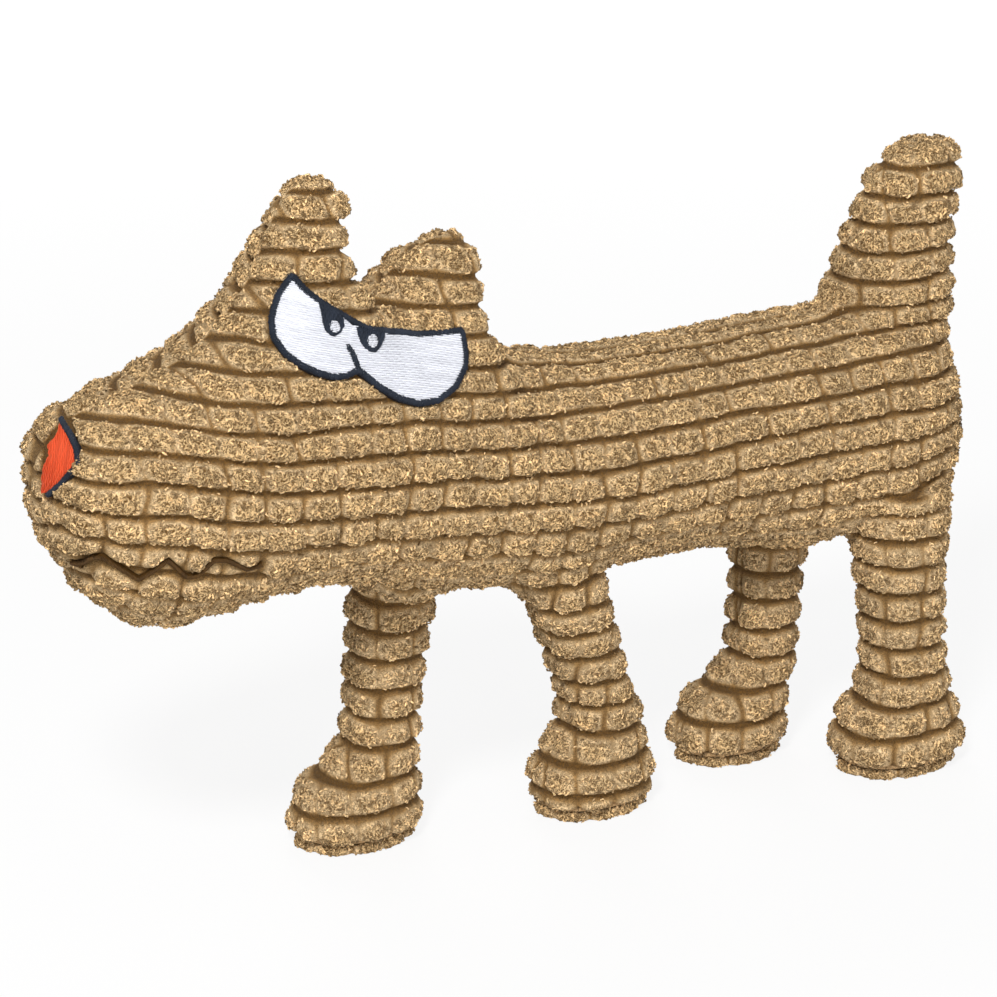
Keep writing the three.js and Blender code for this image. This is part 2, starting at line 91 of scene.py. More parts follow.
def pointsOf(mesh):
    return readAll(mesh.vertices, "co", 3).reshape(-1, 3).astype(float)


def setPoints(mesh, co):
    mesh.vertices.foreach_set("co", np.asarray(co, np.float32).ravel())
    mesh.update()


def normalsOf(mesh):
    return readAll(mesh.vertex_normals, "vector", 3).reshape(-1, 3).astype(float)


def storeValues(mesh, name, values):
    attribute = mesh.attributes.get(name) or mesh.attributes.new(name, "FLOAT", "POINT")
    attribute.data.foreach_set("value", np.asarray(values, np.float32))


def valuesOf(mesh, name):
    return readAll(mesh.attributes[name].data, "value")


# The four corners of every face; a face with three has its last one twice.
def facesOf(mesh):
    corners = readAll(mesh.loops, "vertex_index", kind=int)
    totals = readAll(mesh.polygons, "loop_total", kind=int)
    starts = readAll(mesh.polygons, "loop_start", kind=int)
    return np.stack([corners[starts + np.minimum(i, totals - 1)] for i in range(4)], 1)


# Turns what the modifiers make into a plain mesh and takes the modifiers off.
def applied(piece):
    graph = bpy.context.evaluated_depsgraph_get()
    mesh = bpy.data.meshes.new_from_object(piece.evaluated_get(graph))
    old = piece.data
    piece.modifiers.clear()
    piece.data = mesh
    bpy.data.meshes.remove(old)
    return piece


def modified(piece, kind, **options):
    step = piece.modifiers.new(kind.lower(), kind)
    for name, value in options.items():
        setattr(step, name, value)
    return applied(piece)


def remeshed(piece, size):
    return modified(piece, "REMESH", mode="VOXEL", voxel_size=size, use_smooth_shade=True)


def smoothed(piece, rounds, **options):
    return modified(piece, "SMOOTH", iterations=rounds, **options)


def smoothStep(value, low, high):
    t = np.clip((value - low) / (high - low), 0, 1)
    return t * t * (3 - 2 * t)


# Copies CAD solids into one mesh, each grown outward a little, and some of them a little more.
def mergedCad(nodes, grow=0.0, more={}):
    joined = bmesh.new()
    for name in nodes:
        one = bmesh.new()
        one.from_mesh(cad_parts[name].data)
        bmesh.ops.remove_doubles(one, verts=one.verts, dist=0.01 * mm)
        one.normal_update()
        for v in one.verts:
            v.co += v.normal * (grow + more.get(name, 0))
        part = written(one, bpy.data.meshes.new("part"))
        joined.from_mesh(part)
        bpy.data.meshes.remove(part)
    return newObject("joined", written(joined, bpy.data.meshes.new("joined")))


def cadSurface(nodes):
    piece = mergedCad(nodes)
    faces = [tuple(f.vertices) for f in piece.data.polygons]
    tree = BVHTree.FromPolygons([v.co.copy() for v in piece.data.vertices], faces)
    bpy.data.objects.remove(piece)
    return tree


# Node helpers, for shaders and geometry alike

# A value in a node tree. The signs of arithmetic between values and numbers add Math nodes.
class Value:
    def __init__(self, socket):
        self.socket = socket
        self.tree = socket.id_data

    def __add__(self, other):
        return maths("ADD", self, other)

    def __sub__(self, other):
        return maths("SUBTRACT", self, other)

    def __rsub__(self, other):
        return maths("SUBTRACT", other, self)

    def __mul__(self, other):
        return maths("MULTIPLY", self, other)

    def __truediv__(self, other):
        return maths("DIVIDE", self, other)

    def __rtruediv__(self, other):
        return maths("DIVIDE", other, self)

    def __pow__(self, other):
        return maths("POWER", self, other)


def treeOf(values):
    return next(value.tree for value in values if isinstance(value, Value))


def fillSocket(socket, value):
    if isinstance(value, Value):
        value.tree.links.new(value.socket, socket)
    elif value is not None:
        socket.default_value = value


def fillSockets(node, values):
    for key, value in values.items():
        fillSocket(node.inputs[key], value)


# Adds a node, sets its options and fills its sockets, which are given by name or number.
def newNode(tree, kind, sockets={}, **options):
    node = tree.nodes.new(kind)
    for name, value in options.items():
        setattr(node, name, value)
    fillSockets(node, sockets)
    return node


def firstInUse(sockets):
    return [socket for socket in sockets if socket.enabled][0]


# Adds a node and returns the value that comes out of it: the named one, or else the first in use.
def newValue(tree, kind, sockets={}, output=None, **options):
    outputs = newNode(tree, kind, sockets, **options).outputs
    return Value(outputs[output] if output else firstInUse(outputs))


def maths(operation, *values, clamp=False):
    sockets = dict(enumerate(values))
    return newValue(treeOf(values), "ShaderNodeMath", sockets, operation=operation, use_clamp=clamp)


def vectorMaths(operation, *values):
    return newValue(treeOf(values), "ShaderNodeVectorMath", dict(enumerate(values)), operation=operation)


def vectorTimes(vector, scale):
    sockets = {0: vector, "Scale": scale}
    return newValue(treeOf(sockets.values()), "ShaderNodeVectorMath", sockets, operation="SCALE")


def stepped(value, low, high, start=0.0, end=1.0):
    sockets = {"Value": value, "From Min": low, "From Max": high, "To Min": start, "To Max": end}
    return newValue(value.tree, "ShaderNodeMapRange", sockets, interpolation_type="SMOOTHSTEP")


def noiseAt(place, size, detail=1.0, twist=0.0, seed=0.0):
    sockets = {"Vector": place, "Scale": 1 / size, "Detail": detail, "Distortion": twist, "W": seed}
    return newValue(place.tree, "ShaderNodeTexNoise", sockets, noise_dimensions="4D")


socketKinds = {"value": "NodeSocketFloat", "vector": "NodeSocketVector", "colour": "NodeSocketColor",
               "geometry": "NodeSocketGeometry", "material": "NodeSocketMaterial"}


# A node group, the values that come into it by name, and the sockets that go out.
def newTree(name, kind, inputs, outputs):
    tree = bpy.data.node_groups.new(name, kind)
    for direction, sockets in (("INPUT", inputs), ("OUTPUT", outputs)):
        for socket, word in sockets.items():
            tree.interface.new_socket(socket, in_out=direction, socket_type=socketKinds[word])
    given = {socket.name: Value(socket) for socket in newNode(tree, "NodeGroupInput").outputs}
    return tree, given, newNode(tree, "NodeGroupOutput").inputs


# Where the embroidery goes: outlines on a flat sheet, seen level from the side or, for the nose, from
# the front left. The first number of a pair counts along the sheet and the second counts upward.

sideWay = Vector((0, 1, 0))
noseWay = Vector((0.5, 0.866, 0))
sheetAway = 0.4   # metres from the toy's middle to the sheets


def alongSheet(way):
    return Vector((way.y, -way.x, 0))


# Turns shares of a part's length and height into places on its sheet.
def onSheet(part, shares):
    left, low = part["start"]
    return [(left + part["length"] * a, low + part["height"] * b) for a, b in shares]


eyes = {
    "start": (-102.3 * mm, 166.5 * mm),
    "length": 66 * mm,
    "height": 44 * mm,
    # From the front of the lid down, back and up to its rear
    "outline": [(0.175, 0.97), (0.105, 0.84), (0.043, 0.68), (0.023, 0.58), (0.044, 0.485), (0.095, 0.41),
                (0.175, 0.342), (0.245, 0.303), (0.308, 0.297), (0.378, 0.322), (0.474, 0.18), (0.57, 0.08),
                (0.67, 0.02), (0.777, 0.015), (0.886, 0.075), (0.962, 0.185), (0.985, 0.275), (0.995, 0.42),
                (0.87, 0.425), (0.747, 0.435), (0.595, 0.495), (0.447, 0.59), (0.342, 0.7), (0.254, 0.8),
                (0.205, 0.88)],
    "parting": [(0.362, 0.4), (0.352, 0.49), (0.37, 0.56), (0.392, 0.61)],
    "divider": [(0.378, 0.31), (0.37, 0.38), (0.36, 0.44), (0.348, 0.48), (0.335, 0.48)],
    "pupils": {
        "front": [(0.25, 0.805), (0.25, 0.72), (0.246, 0.655), (0.249, 0.605), (0.266, 0.575), (0.288, 0.56),
                  (0.32, 0.578), (0.345, 0.62), (0.349, 0.66), (0.338, 0.71)],
        "rear": [(0.406, 0.6), (0.406, 0.55), (0.412, 0.5), (0.427, 0.455), (0.453, 0.42), (0.482, 0.41),
                 (0.512, 0.435), (0.536, 0.47), (0.548, 0.505), (0.54, 0.525)],
    },
    "lights": {"front": ((0.297, 0.622), 1.7 * mm), "rear": ((0.472, 0.485), 1.85 * mm)},
    "lineWidth": 1.85 * mm,
    "pressWidth": 1.6 * mm,       # the pile is pressed down this wide under the lines
    "lift": 2.3 * mm,
    "pupilAbove": 0.6 * mm,       # how far pupils, lights and lines lie above the whites
    "lightAbove": 0.85 * mm,
    "lineAbove": 0.3 * mm,
    "tilt": math.radians(-14),
    "deepest": -8 * mm,           # only cloth at least this far out lies under the embroidery
}
nose = {
    "start": (-149.5 * mm, 149 * mm),
    "length": 14 * mm,
    "height": 23 * mm,
    "outline": [(0.5, 0.96), (0.66, 0.87), (0.8, 0.76), (0.83, 0.6), (0.3, 0.13), (0.02, 0.0), (0.06, 0.36),
                (0.2, 0.58), (0.17, 0.71), (0.35, 0.82)],
    "edge": [(0.5, 0.97), (0.71, 0.91), (0.87, 0.79), (0.91, 0.6), (0.65, 0.4), (0.16, 0.02)],
    "depth": -86 * mm,
    "lineWidth": 1.6 * mm,
    "pressWidth": 2.6 * mm,
    "lift": 2.4 * mm,
    "deepest": -74 * mm,
}
mouth = {
    "start": (-166.2 * mm, 125.0 * mm),
    "length": 52 * mm,
    "height": 9 * mm,
    "line": [(0, 0.1), (0.045, 0.4), (0.06, 0.88), (0.095, 0.92), (0.275, 0.06), (0.41, 0.82), (0.53, 0.05),
             (0.59, 0.05), (0.68, 0.6), (0.77, 0.5), (0.9, 0.02), (1, 0.1)],
    "lineWidth": 1.15 * mm,
    "pressWidth": 1.6 * mm,
    "lift": 1.8 * mm,
    # Round the line the pile is this share of its height, and rises to the full between these distances
    "low": (0.5, 1.5 * mm, 5 * mm),
    "deepest": -6 * mm,
}


def insideOutline(outline, s, t):
    inside = np.zeros(len(s), bool)
    for (s1, t1), (s2, t2) in zip(outline, outline[1:] + outline[:1]):
        if t1 != t2:
            inside ^= ((t1 > t) != (t2 > t)) & (s < (s2 - s1) * (t - t1) / (t2 - t1) + s1)
    return inside


def lineDistance(line, s, t):
    nearest = np.full(len(s), 1.0)
    for (s1, t1), (s2, t2) in zip(line, line[1:]):
        length = max((s2 - s1) ** 2 + (t2 - t1) ** 2, 1e-12)
        share = np.clip(((s - s1) * (s2 - s1) + (t - t1) * (t2 - t1)) / length, 0, 1)
        nearest = np.minimum(nearest, np.hypot(s - s1 - share * (s2 - s1), t - t1 - share * (t2 - t1)))
    return nearest


# How far each point lies outside the embroidered areas, measured on the sheets; below 0 is inside.
def outsideEmbroidery(co):
    away = np.full(len(co), 1.0)
    for part, way in ((eyes, sideWay), (mouth, sideWay), (nose, noseWay)):
        s = co @ np.array(alongSheet(way))
        t = co[:, 2]
        found = np.full(len(co), 1.0)
        for key in ("outline", "edge", "line"):
            if key in part:
                line = onSheet(part, part[key])
                line += line[:1] if key == "outline" else []
                found = np.minimum(found, lineDistance(line, s, t) - part["pressWidth"] / 2)
        if "outline" in part:
            inside = insideOutline(onSheet(part, part["outline"]), s, t)
            found = np.where(inside, -np.abs(found), found)
        if part is nose:
            found = np.where(co[:, 1] > 0.5 * mm, 1.0, found)   # the far panel keeps its pile up to the seam
        away = np.where(co @ np.array(way) < part["deepest"], np.minimum(away, found), away)
    return away


# The outer skin: one smooth surface over all the stuffed forms, which later becomes plush

legs = ["leg_front_right", "leg_front_left", "leg_rear_right", "leg_rear_left"]
stuffed = ["torso", "head", "ear_front", "ear_rear", "tail"] + legs
embroidery = ["eye_outline", "eye_white_front", "pupil_front", "highlight_front", "eye_white_rear",
              "pupil_rear", "highlight_rear", "nose_patch", "nose_edge", "mouth_line"]
embroidered = cadSurface(embroidery)
notch = -58.06 * mm       # between the two ears
rumpPlace = 100 * mm      # only the rear legs and the tail lie behind this

skinSizes = {
    "grow": 1.8 * mm,        # closes the gaps between the stuffed forms
    "coarseVoxel": 1.5 * mm,
    "fineVoxel": 0.8 * mm,
    "quickVoxel": 1.2 * mm,
    "sink": 2.5 * mm,        # the backing cloth lies this far inside the stuffed forms
    "legSink": 1.4 * mm,
    "fuller": {"ear_front": 0.8 * mm, "ear_rear": 1.8 * mm, "tail": 0.5 * mm},   # or they lose their tips
    "sinkFrom": (80 * mm, 100 * mm),
    "notchFrom": (196 * mm, 207 * mm),
    "notchOpen": (-3.6 * mm, 0.8 * mm),   # the sides of the notch between the ears move apart
    "earFront": (-84 * mm, -64 * mm),
    "tipFrom": (214 * mm, 228 * mm),
    "tipStay": 1.8,
    "earSquare": 1.9 * mm,                # and the rear ear's upper corner is stuffed out
    "earCorner": ((-44 * mm, -26 * mm), (186 * mm, 202 * mm)),
    "faceKeep": (0.5 * mm, 5 * mm),       # but not under the embroidery
    "stiffener": 3.5 * mm,
    # How the filling lifts or lowers the underside and the back, as (place along it, rise) in millimetres
    "underside": [(-140, 0), (-125, 1), (-100, 2.8), (-78, 3.2), (-66, 1), (-50, -1), (-37, -2), (-7, -2),
                  (10, 0), (25, 2.8), (45, 3.2), (62, 2.8), (80, 0), (98, -2.5), (118, -2.5), (130, 0)],
    "back": [(-170, 0.6), (-120, 1.8), (-100, 0.8), (-30, 0.8), (-18, 2.2), (5, 1.4), (20, 0.6), (60, 0.6),
             (85, 1.5), (110, 1.5)],
    "underBetween": ((-125 * mm, -102 * mm), (70 * mm, 90 * mm)),
    "backFrom": (140 * mm, 165 * mm),
    "tailFull": -1.0 * mm,
    "tailFrom": (185 * mm, 205 * mm),
    # The legs stand a little aside of their solids between the foot and the body
    "legAside": {"leg_front_left": 1.7 * mm, "leg_front_right": -1.9 * mm, "leg_rear_right": 1.9 * mm,
                 "leg_rear_left": -1.0 * mm},
    "legReach": 32 * mm,
    "legBetween": ((12 * mm, 40 * mm), (78 * mm, 96 * mm)),
}
swelling = {
    "voxel": 5 * mm,
    "pressure": 36.0,
    "frames": 20,
    "mostMove": 1.6 * mm,
    "seamHold": (2 * mm, 7 * mm),    # the sewn edge is held, and lets go between these distances
    "faceHold": (5 * mm, 10 * mm),   # so is the cloth under the embroidery
    "footHold": (8 * mm, 14 * mm),
}


def markPoints(piece, name, chosen):
    piece.vertex_groups.new(name=name).add(np.flatnonzero(chosen).tolist(), 1.0, "REPLACE")


def nearestDistance(tree, co, most):
    distance = np.full(len(co), most)
    for i, point in enumerate(co):
        found = tree.find_nearest(Vector(point), most)
        if found[0] is not None:
            distance[i] = found[3]
    return distance


# The filling presses the panels out between their seams: a cloth simulation on a coarse copy.
def swellPanels(skin):
    s = swelling
    cloth = newObject("cloth", skin.data.copy())
    remeshed(cloth, s["voxel"])
    start = pointsOf(cloth.data)
    free = smoothStep(np.abs(start[:, 1]), *s["seamHold"])
    free *= smoothStep(start[:, 2], *s["footHold"])
    free *= smoothStep(nearestDistance(embroidered, start, s["faceHold"][1]), *s["faceHold"])
    markPoints(cloth, "held", free < 0.5)
    step = cloth.modifiers.new("cloth", "CLOTH")
    step.settings.use_pressure = True
    step.settings.uniform_pressure_force = s["pressure"]
    step.settings.vertex_group_mass = "held"
    step.settings.effector_weights.gravity = 0
    step.point_cache.frame_start = 1
    step.point_cache.frame_end = s["frames"]
    for number in range(1, s["frames"] + 1):
        bpy.context.scene.frame_set(number)
    graph = bpy.context.evaluated_depsgraph_get()
    swollen = bpy.data.meshes.new_from_object(cloth.evaluated_get(graph))
    move = pointsOf(swollen) - start
    length = np.linalg.norm(move, axis=1)
    move *= (free * np.minimum(1, s["mostMove"] / np.maximum(length, 1e-9)))[:, None]
    print("cloth simulation: largest swelling", round(float(length.max() / mm), 2), "mm before the cap")
    bpy.context.scene.frame_set(1)
    bpy.data.objects.remove(cloth)
    bpy.data.meshes.remove(swollen)
    near = KDTree(len(start))
    for i, point in enumerate(start):
        near.insert(Vector(point), i)
    near.balance()
    co = pointsOf(skin.data)
    for i, point in enumerate(co):
        found = near.find_n(Vector(point), 5)
        weights = np.array([1 / (f[2] + 0.5 * mm) ** 2 for f in found])
        co[i] += (weights[:, None] * move[[f[1] for f in found]]).sum(0) / weights.sum()
    setPoints(skin.data, co)


def sewSkin():
    s = skinSizes
    skin = mergedCad(stuffed, s["grow"], s["fuller"])
    remeshed(skin, s["coarseVoxel"])
    smoothed(skin, 8)
    co = pointsOf(skin.data)
    sink = s["legSink"] + (s["sink"] - s["legSink"]) * smoothStep(co[:, 2], *s["sinkFrom"])
    co -= normalsOf(skin.data) * (s["grow"] + sink)[:, None]
    x, y, z = co.T.copy()
    front, rear = s["notchOpen"]
    tip = smoothStep(z, *s["tipFrom"])
    front = front * smoothStep(x, *s["earFront"]) * (1 - s["tipStay"] * tip)
    shift = smoothStep(z, *s["notchFrom"]) * np.where(x < notch, front, rear)
    cornerX, cornerZ = s["earCorner"]
    shift += s["earSquare"] * smoothStep(x, *cornerX) * smoothStep(z, *cornerZ)
    shift *= smoothStep(outsideEmbroidery(co), *s["faceKeep"]) * (x < 0)
    shift += s["tailFull"] * smoothStep(z, *s["tailFrom"]) * (x > rumpPlace)
    co[:, 0] += shift
    for name, aside in s["legAside"].items():
        lo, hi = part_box(name)
        near = (np.abs(x - (lo[0] + hi[0]) / 2) < s["legReach"]) & (y * (lo[1] + hi[1]) > 0)
        low, high = s["legBetween"]
        co[:, 0] += aside * near * smoothStep(z, *low) * (1 - smoothStep(z, *high))
    under = np.interp(x / mm, *np.array(s["underside"]).T) * mm
    down, up = s["underBetween"]
    co[:, 2] += under * smoothStep(-z, *down) * smoothStep(z, *up)
    co[:, 2] += np.interp(x / mm, *np.array(s["back"]).T) * mm * smoothStep(z, *s["backFrom"])
    setPoints(skin.data, co)
    smoothed(skin, 3)
    # The stiffener behind the embroidery keeps its cloth even
    markPoints(skin, "flat", outsideEmbroidery(co) < s["stiffener"])
    smoothed(skin, 240, vertex_group="flat")
    swellPanels(skin)
    remeshed(skin, s["fineVoxel"])
    smoothed(skin, 4)
    return skin


# Where each point lies on the flat side panels before they were stuffed. The ribs of a panel run
# level, so panelV counts across them, round the body or limb, and panelU counts along them.

panels = {
    # Height of the widest line of the body, as (place along it, height) in millimetres
    "middle": [(-173.5, 151.5), (-150, 146), (-120, 143.5), (-95, 145.5), (-60, 147), (-35, 143.5),
               (-18, 138), (2, 128), (20, 125.5), (168, 125)],
    "span": (-172.5 * mm, 166 * mm),
    "slices": 110,
    "angles": 73,
    "reach": 300 * mm,
    "farShift": 3.6 * mm,     # the ribs of the two panels don't meet at the seam
    "seamBlend": (-0.5 * mm, 0.5 * mm),
    "legBlend": (107 * mm, 94 * mm),
    "tailBlend": (155 * mm, 170 * mm),
    "limbFade": (1.2, 1.9),   # a limb's ribs end this far from its middle, in its half widths
    # On top of the head the ribs stay nearly level right up to the seam
    "headLevel": 0.8,
    "levelStretch": 1.2,
    "headFrom": (4 * mm, 24 * mm),
    "levelFrom": (math.radians(12), math.radians(50)),
    "legTop": 80 * mm,
    "tailFoot": 168 * mm,
    "tailStretch": 1.14,      # the ribs of the tail lie closer
    # The ribs of the head run down toward the back, as (place along it, drop) in millimetres
    "lean": [(-168, -25), (-147, -23.8), (-127, -19), (-104, -14.3), (-89, -12.8), (-65, -9.7), (-43, -7),
             (-4, -1), (20, 0)],
    "rimPress": (5.2 * mm, 7.2 * mm),
    "facePress": (-0.5 * mm, 0.6 * mm),
    "legPile": 0.8,           # the pile of the legs is a little shorter
    # At both ends of the body the ribs run level up to the seam
    "endFrom": ((145 * mm, 166 * mm), (128 * mm, 156 * mm)),
}


def bodyTable():
    p = panels
    tree = cadSurface(["torso", "head", "ear_front", "ear_rear"])
    xs = np.linspace(*p["span"], p["slices"])
    angles = np.radians(np.linspace(-90, 90, p["angles"]))
    line = np.array(p["middle"]) * mm
    middles = np.interp(xs, line[:, 0], line[:, 1])
    radius = np.zeros((len(xs), len(angles)))
    for i, x in enumerate(xs):
        for j, angle in enumerate(angles):
            out = Vector((0, -math.cos(angle), math.sin(angle)))
            start = Vector((x, 0, middles[i])) + out * p["reach"]
            hit = tree.ray_cast(start, -out)
            radius[i, j] = p["reach"] - hit[3] if hit[0] else 2 * mm
    across = radius * np.cos(angles)
    up = radius * np.sin(angles)
    length = np.hypot(np.diff(across, axis=1), np.diff(up, axis=1))
    arc = np.concatenate([np.zeros((len(xs), 1)), np.cumsum(length, axis=1)], axis=1)
    arc -= arc[:, len(angles) // 2][:, None]
    for _ in range(3):
        arc[1:-1] = (arc[:-2] + 2 * arc[1:-1] + arc[2:]) / 4
    halfWidth = radius[:, len(angles) // 2]
    along = np.concatenate([[0], np.cumsum(np.hypot(np.diff(xs), np.diff(halfWidth)))])
    along -= np.interp(0, xs, along)
    return xs, angles, middles, arc, along


def lookUp(table, rows, columns, x, y):
    i = np.clip((x - rows[0]) / (rows[1] - rows[0]), 0, len(rows) - 1.001)
    j = np.clip((y - columns[0]) / (columns[1] - columns[0]), 0, len(columns) - 1.001)
    i0 = i.astype(int)
    j0 = j.astype(int)
    fi = i - i0
    fj = j - j0
    low = table[i0, j0] * (1 - fi) + table[i0 + 1, j0] * fi
    high = table[i0, j0 + 1] * (1 - fi) + table[i0 + 1, j0 + 1] * fi
    return low * (1 - fj) + high * fj


# Centre and half sizes of a limb's rings between two heights, read from its CAD solid.
def limbRings(name, low, high):
    co = pointsOf(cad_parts[name].data)
    levels = np.unique(np.round(co[:, 2], 4))
    rows = []
    for level in levels[(levels > low) & (levels < high)]:
        ring = co[np.abs(co[:, 2] - level) < 0.06 * mm]
        if len(ring) > 8:
            middle = (ring.min(0) + ring.max(0)) / 2
            half = (ring.max(0) - ring.min(0)) / 2
            rows.append([level, middle[0], middle[1], half[0], half[1]])
    return np.array(rows)


def limbField(co, rings):
    z = co[:, 2]
    centreX, centreY, halfX, halfY = [np.interp(z, rings[:, 0], rings[:, k]) for k in (1, 2, 3, 4)]
    for centre, k in ((centreX, 1), (centreY, 2)):   # above the last ring the limb keeps leaning
        slope = (rings[-1, k] - rings[-3, k]) / (rings[-1, 0] - rings[-3, 0])
        centre += np.where(z > rings[-1, 0], (z - rings[-1, 0]) * slope, 0)
    dx = (co[:, 0] - centreX) / halfX
    dy = (co[:, 1] - centreY) / halfY
    angle = np.arctan2(dx, np.abs(dy) + 1e-6)
    u = centreX + angle * (halfX + halfY) / 2
    return u, z.copy(), np.hypot(dx, dy), np.abs(co[:, 1] - centreY)


# Writes the panel coordinates and returns, for each limb, its share at every point and its offset.
def addPanelFields(skin):
    p = panels
    co = pointsOf(skin.data)
    xs, angles, middles, arc, along = bodyTable()
    x, y, z = co.T
    middle = np.interp(x, xs, middles)
    u = np.interp(x, xs, along)
    angle = np.arctan2(z - middle, np.abs(y) + 1e-6)
    level = p["headLevel"] * smoothStep(-x, *p["headFrom"]) * smoothStep(angle, *p["levelFrom"])
    front, rear = p["endFrom"]
    level = np.maximum(level, np.maximum(smoothStep(-x, *front), smoothStep(x, *rear)))
    v = middle + lookUp(arc, xs, angles, x, angle) * (1 - level) + (z - middle) * p["levelStretch"] * level
    v += p["farShift"] * smoothStep(y, *p["seamBlend"])
    lean = np.array(p["lean"]) * mm
    v += np.interp(x, lean[:, 0], lean[:, 1])
    seam = np.abs(y)
    limbs = {}
    shorter = np.ones(len(co))
    for name in legs + ["tail"]:
        if name == "tail":
            limbU, limbV, near, limbSeam = limbField(co, limbRings(name, p["tailFoot"], 1))
            limbV = p["tailFoot"] + (limbV - p["tailFoot"]) * p["tailStretch"]
            weight = smoothStep(z, *p["tailBlend"]) * (x > rumpPlace)
        else:
            limbU, limbV, near, limbSeam = limbField(co, limbRings(name, 0, p["legTop"]))
            weight = smoothStep(z, *p["legBlend"])
            shorter = np.minimum(shorter, 1 - (1 - p["legPile"]) * weight * (near < p["limbFade"][1]))
        weight *= 1 - smoothStep(near, *p["limbFade"])
        edge = (weight > 0.3) & (weight < 0.7)
        lift = np.mean((v - z)[edge])
        limbU += np.mean((u - limbU)[edge])
        u = u * (1 - weight) + limbU * weight
        v = v * (1 - weight) + (limbV + lift) * weight
        seam = seam * (1 - weight) + limbSeam * weight
        limbs[name] = (weight, lift)
    pile = smoothStep(outsideEmbroidery(co), *p["facePress"])
    pile *= smoothStep(z, *p["rimPress"]) * shorter
    share, close, far = mouth["low"]
    mouthNear = lineDistance(onSheet(mouth, mouth["line"]), x, z) + (y > 0)
    pile *= share + (1 - share) * smoothStep(mouthNear, close, far)
    for name, values in (("panelU", u), ("panelV", v), ("seamNear", seam), ("pileShare", pile)):
        storeValues(skin.data, name, values)
    return co, limbs


# Geometry Nodes: the ribs and tufts of the plush

ribs = {
    "ribPitch": 10.3 * mm,
    "grooveShare": 0.17,
    "tuftLength": 12.6 * mm,
    "pileHeight": 3.2 * mm,
    "cutShare": 0.78,
    "wander": 1.1 * mm,
    "droop": 0.3,              # the tufts sag over the groove below them
    "clump": 2.1 * mm,
    "clumpHeight": 0.95 * mm,
    "seamWidth": 1.7 * mm,
}
pileForm = {
    "noiseSizes": (2.2, 1.1),      # of the broad and the tight noise, in ribs
    "swayShares": (2.2, 1.3),
    "swayMiddle": 1.75,
    "drift": 4.0,
    "stagger": 0.16,
    "skew": 0.86,                  # a rib is steeper below and gentler above
    "ribDome": (2.6, 0.62),
    "cutGap": 0.05,
    "cutDome": (2.4, 0.62),
    "cutDepths": (0.5, 1.1),       # of the shallowest and the deepest cut between tufts
    "fullness": (0.26, 0.84),      # what chance adds to a tuft, and its least height
    "seamHeight": 0.3,
    "clumpGrowth": (0.9, 0.08),
}


# Every tree takes a shape, some numbers and a material, and gives a shape.
def newShapeTree(name, numbers):
    inputs = {"Geometry": "geometry", **dict.fromkeys(numbers, "value"), "material": "material"}
    return newTree(name, "GeometryNodeTree", inputs, {"Geometry": "geometry"})


def realized(geometry):
    return newValue(geometry.tree, "GeometryNodeRealizeInstances", {0: geometry})


def dressed(geometry, given, out):
    sockets = {"Geometry": geometry, "Material": given["material"]}
    fillSocket(out["Geometry"], newValue(geometry.tree, "GeometryNodeSetMaterial", sockets))
    return geometry.tree


def namedValue(tree, name, kind="FLOAT"):
    return newValue(tree, "GeometryNodeInputNamedAttribute", {"Name": name}, data_type=kind)


def keepValue(geometry, name, value, domain="POINT"):
    return newValue(geometry.tree, "GeometryNodeStoreNamedAttribute",
                    {"Name": name, "Geometry": geometry, "Value": value}, data_type="FLOAT", domain=domain)


# A flat-bottomed gap and a rounded cell between two gaps.
def roundedCell(share, gap, power, roundness):
    centred = maths("ABSOLUTE", maths("MULTIPLY_ADD", share, 2.0, -1.0))
    wide = maths("MINIMUM", centred / (1.0 - gap), 1.0)
    return (1.0 - wide ** power) ** roundness


def diceAt(a, b, c=0.0):
    triple = newValue(a.tree, "ShaderNodeCombineXYZ", {0: a, 1: b, 2: c})
    return newValue(a.tree, "ShaderNodeTexWhiteNoise", {"Vector": triple}, noise_dimensions="3D")


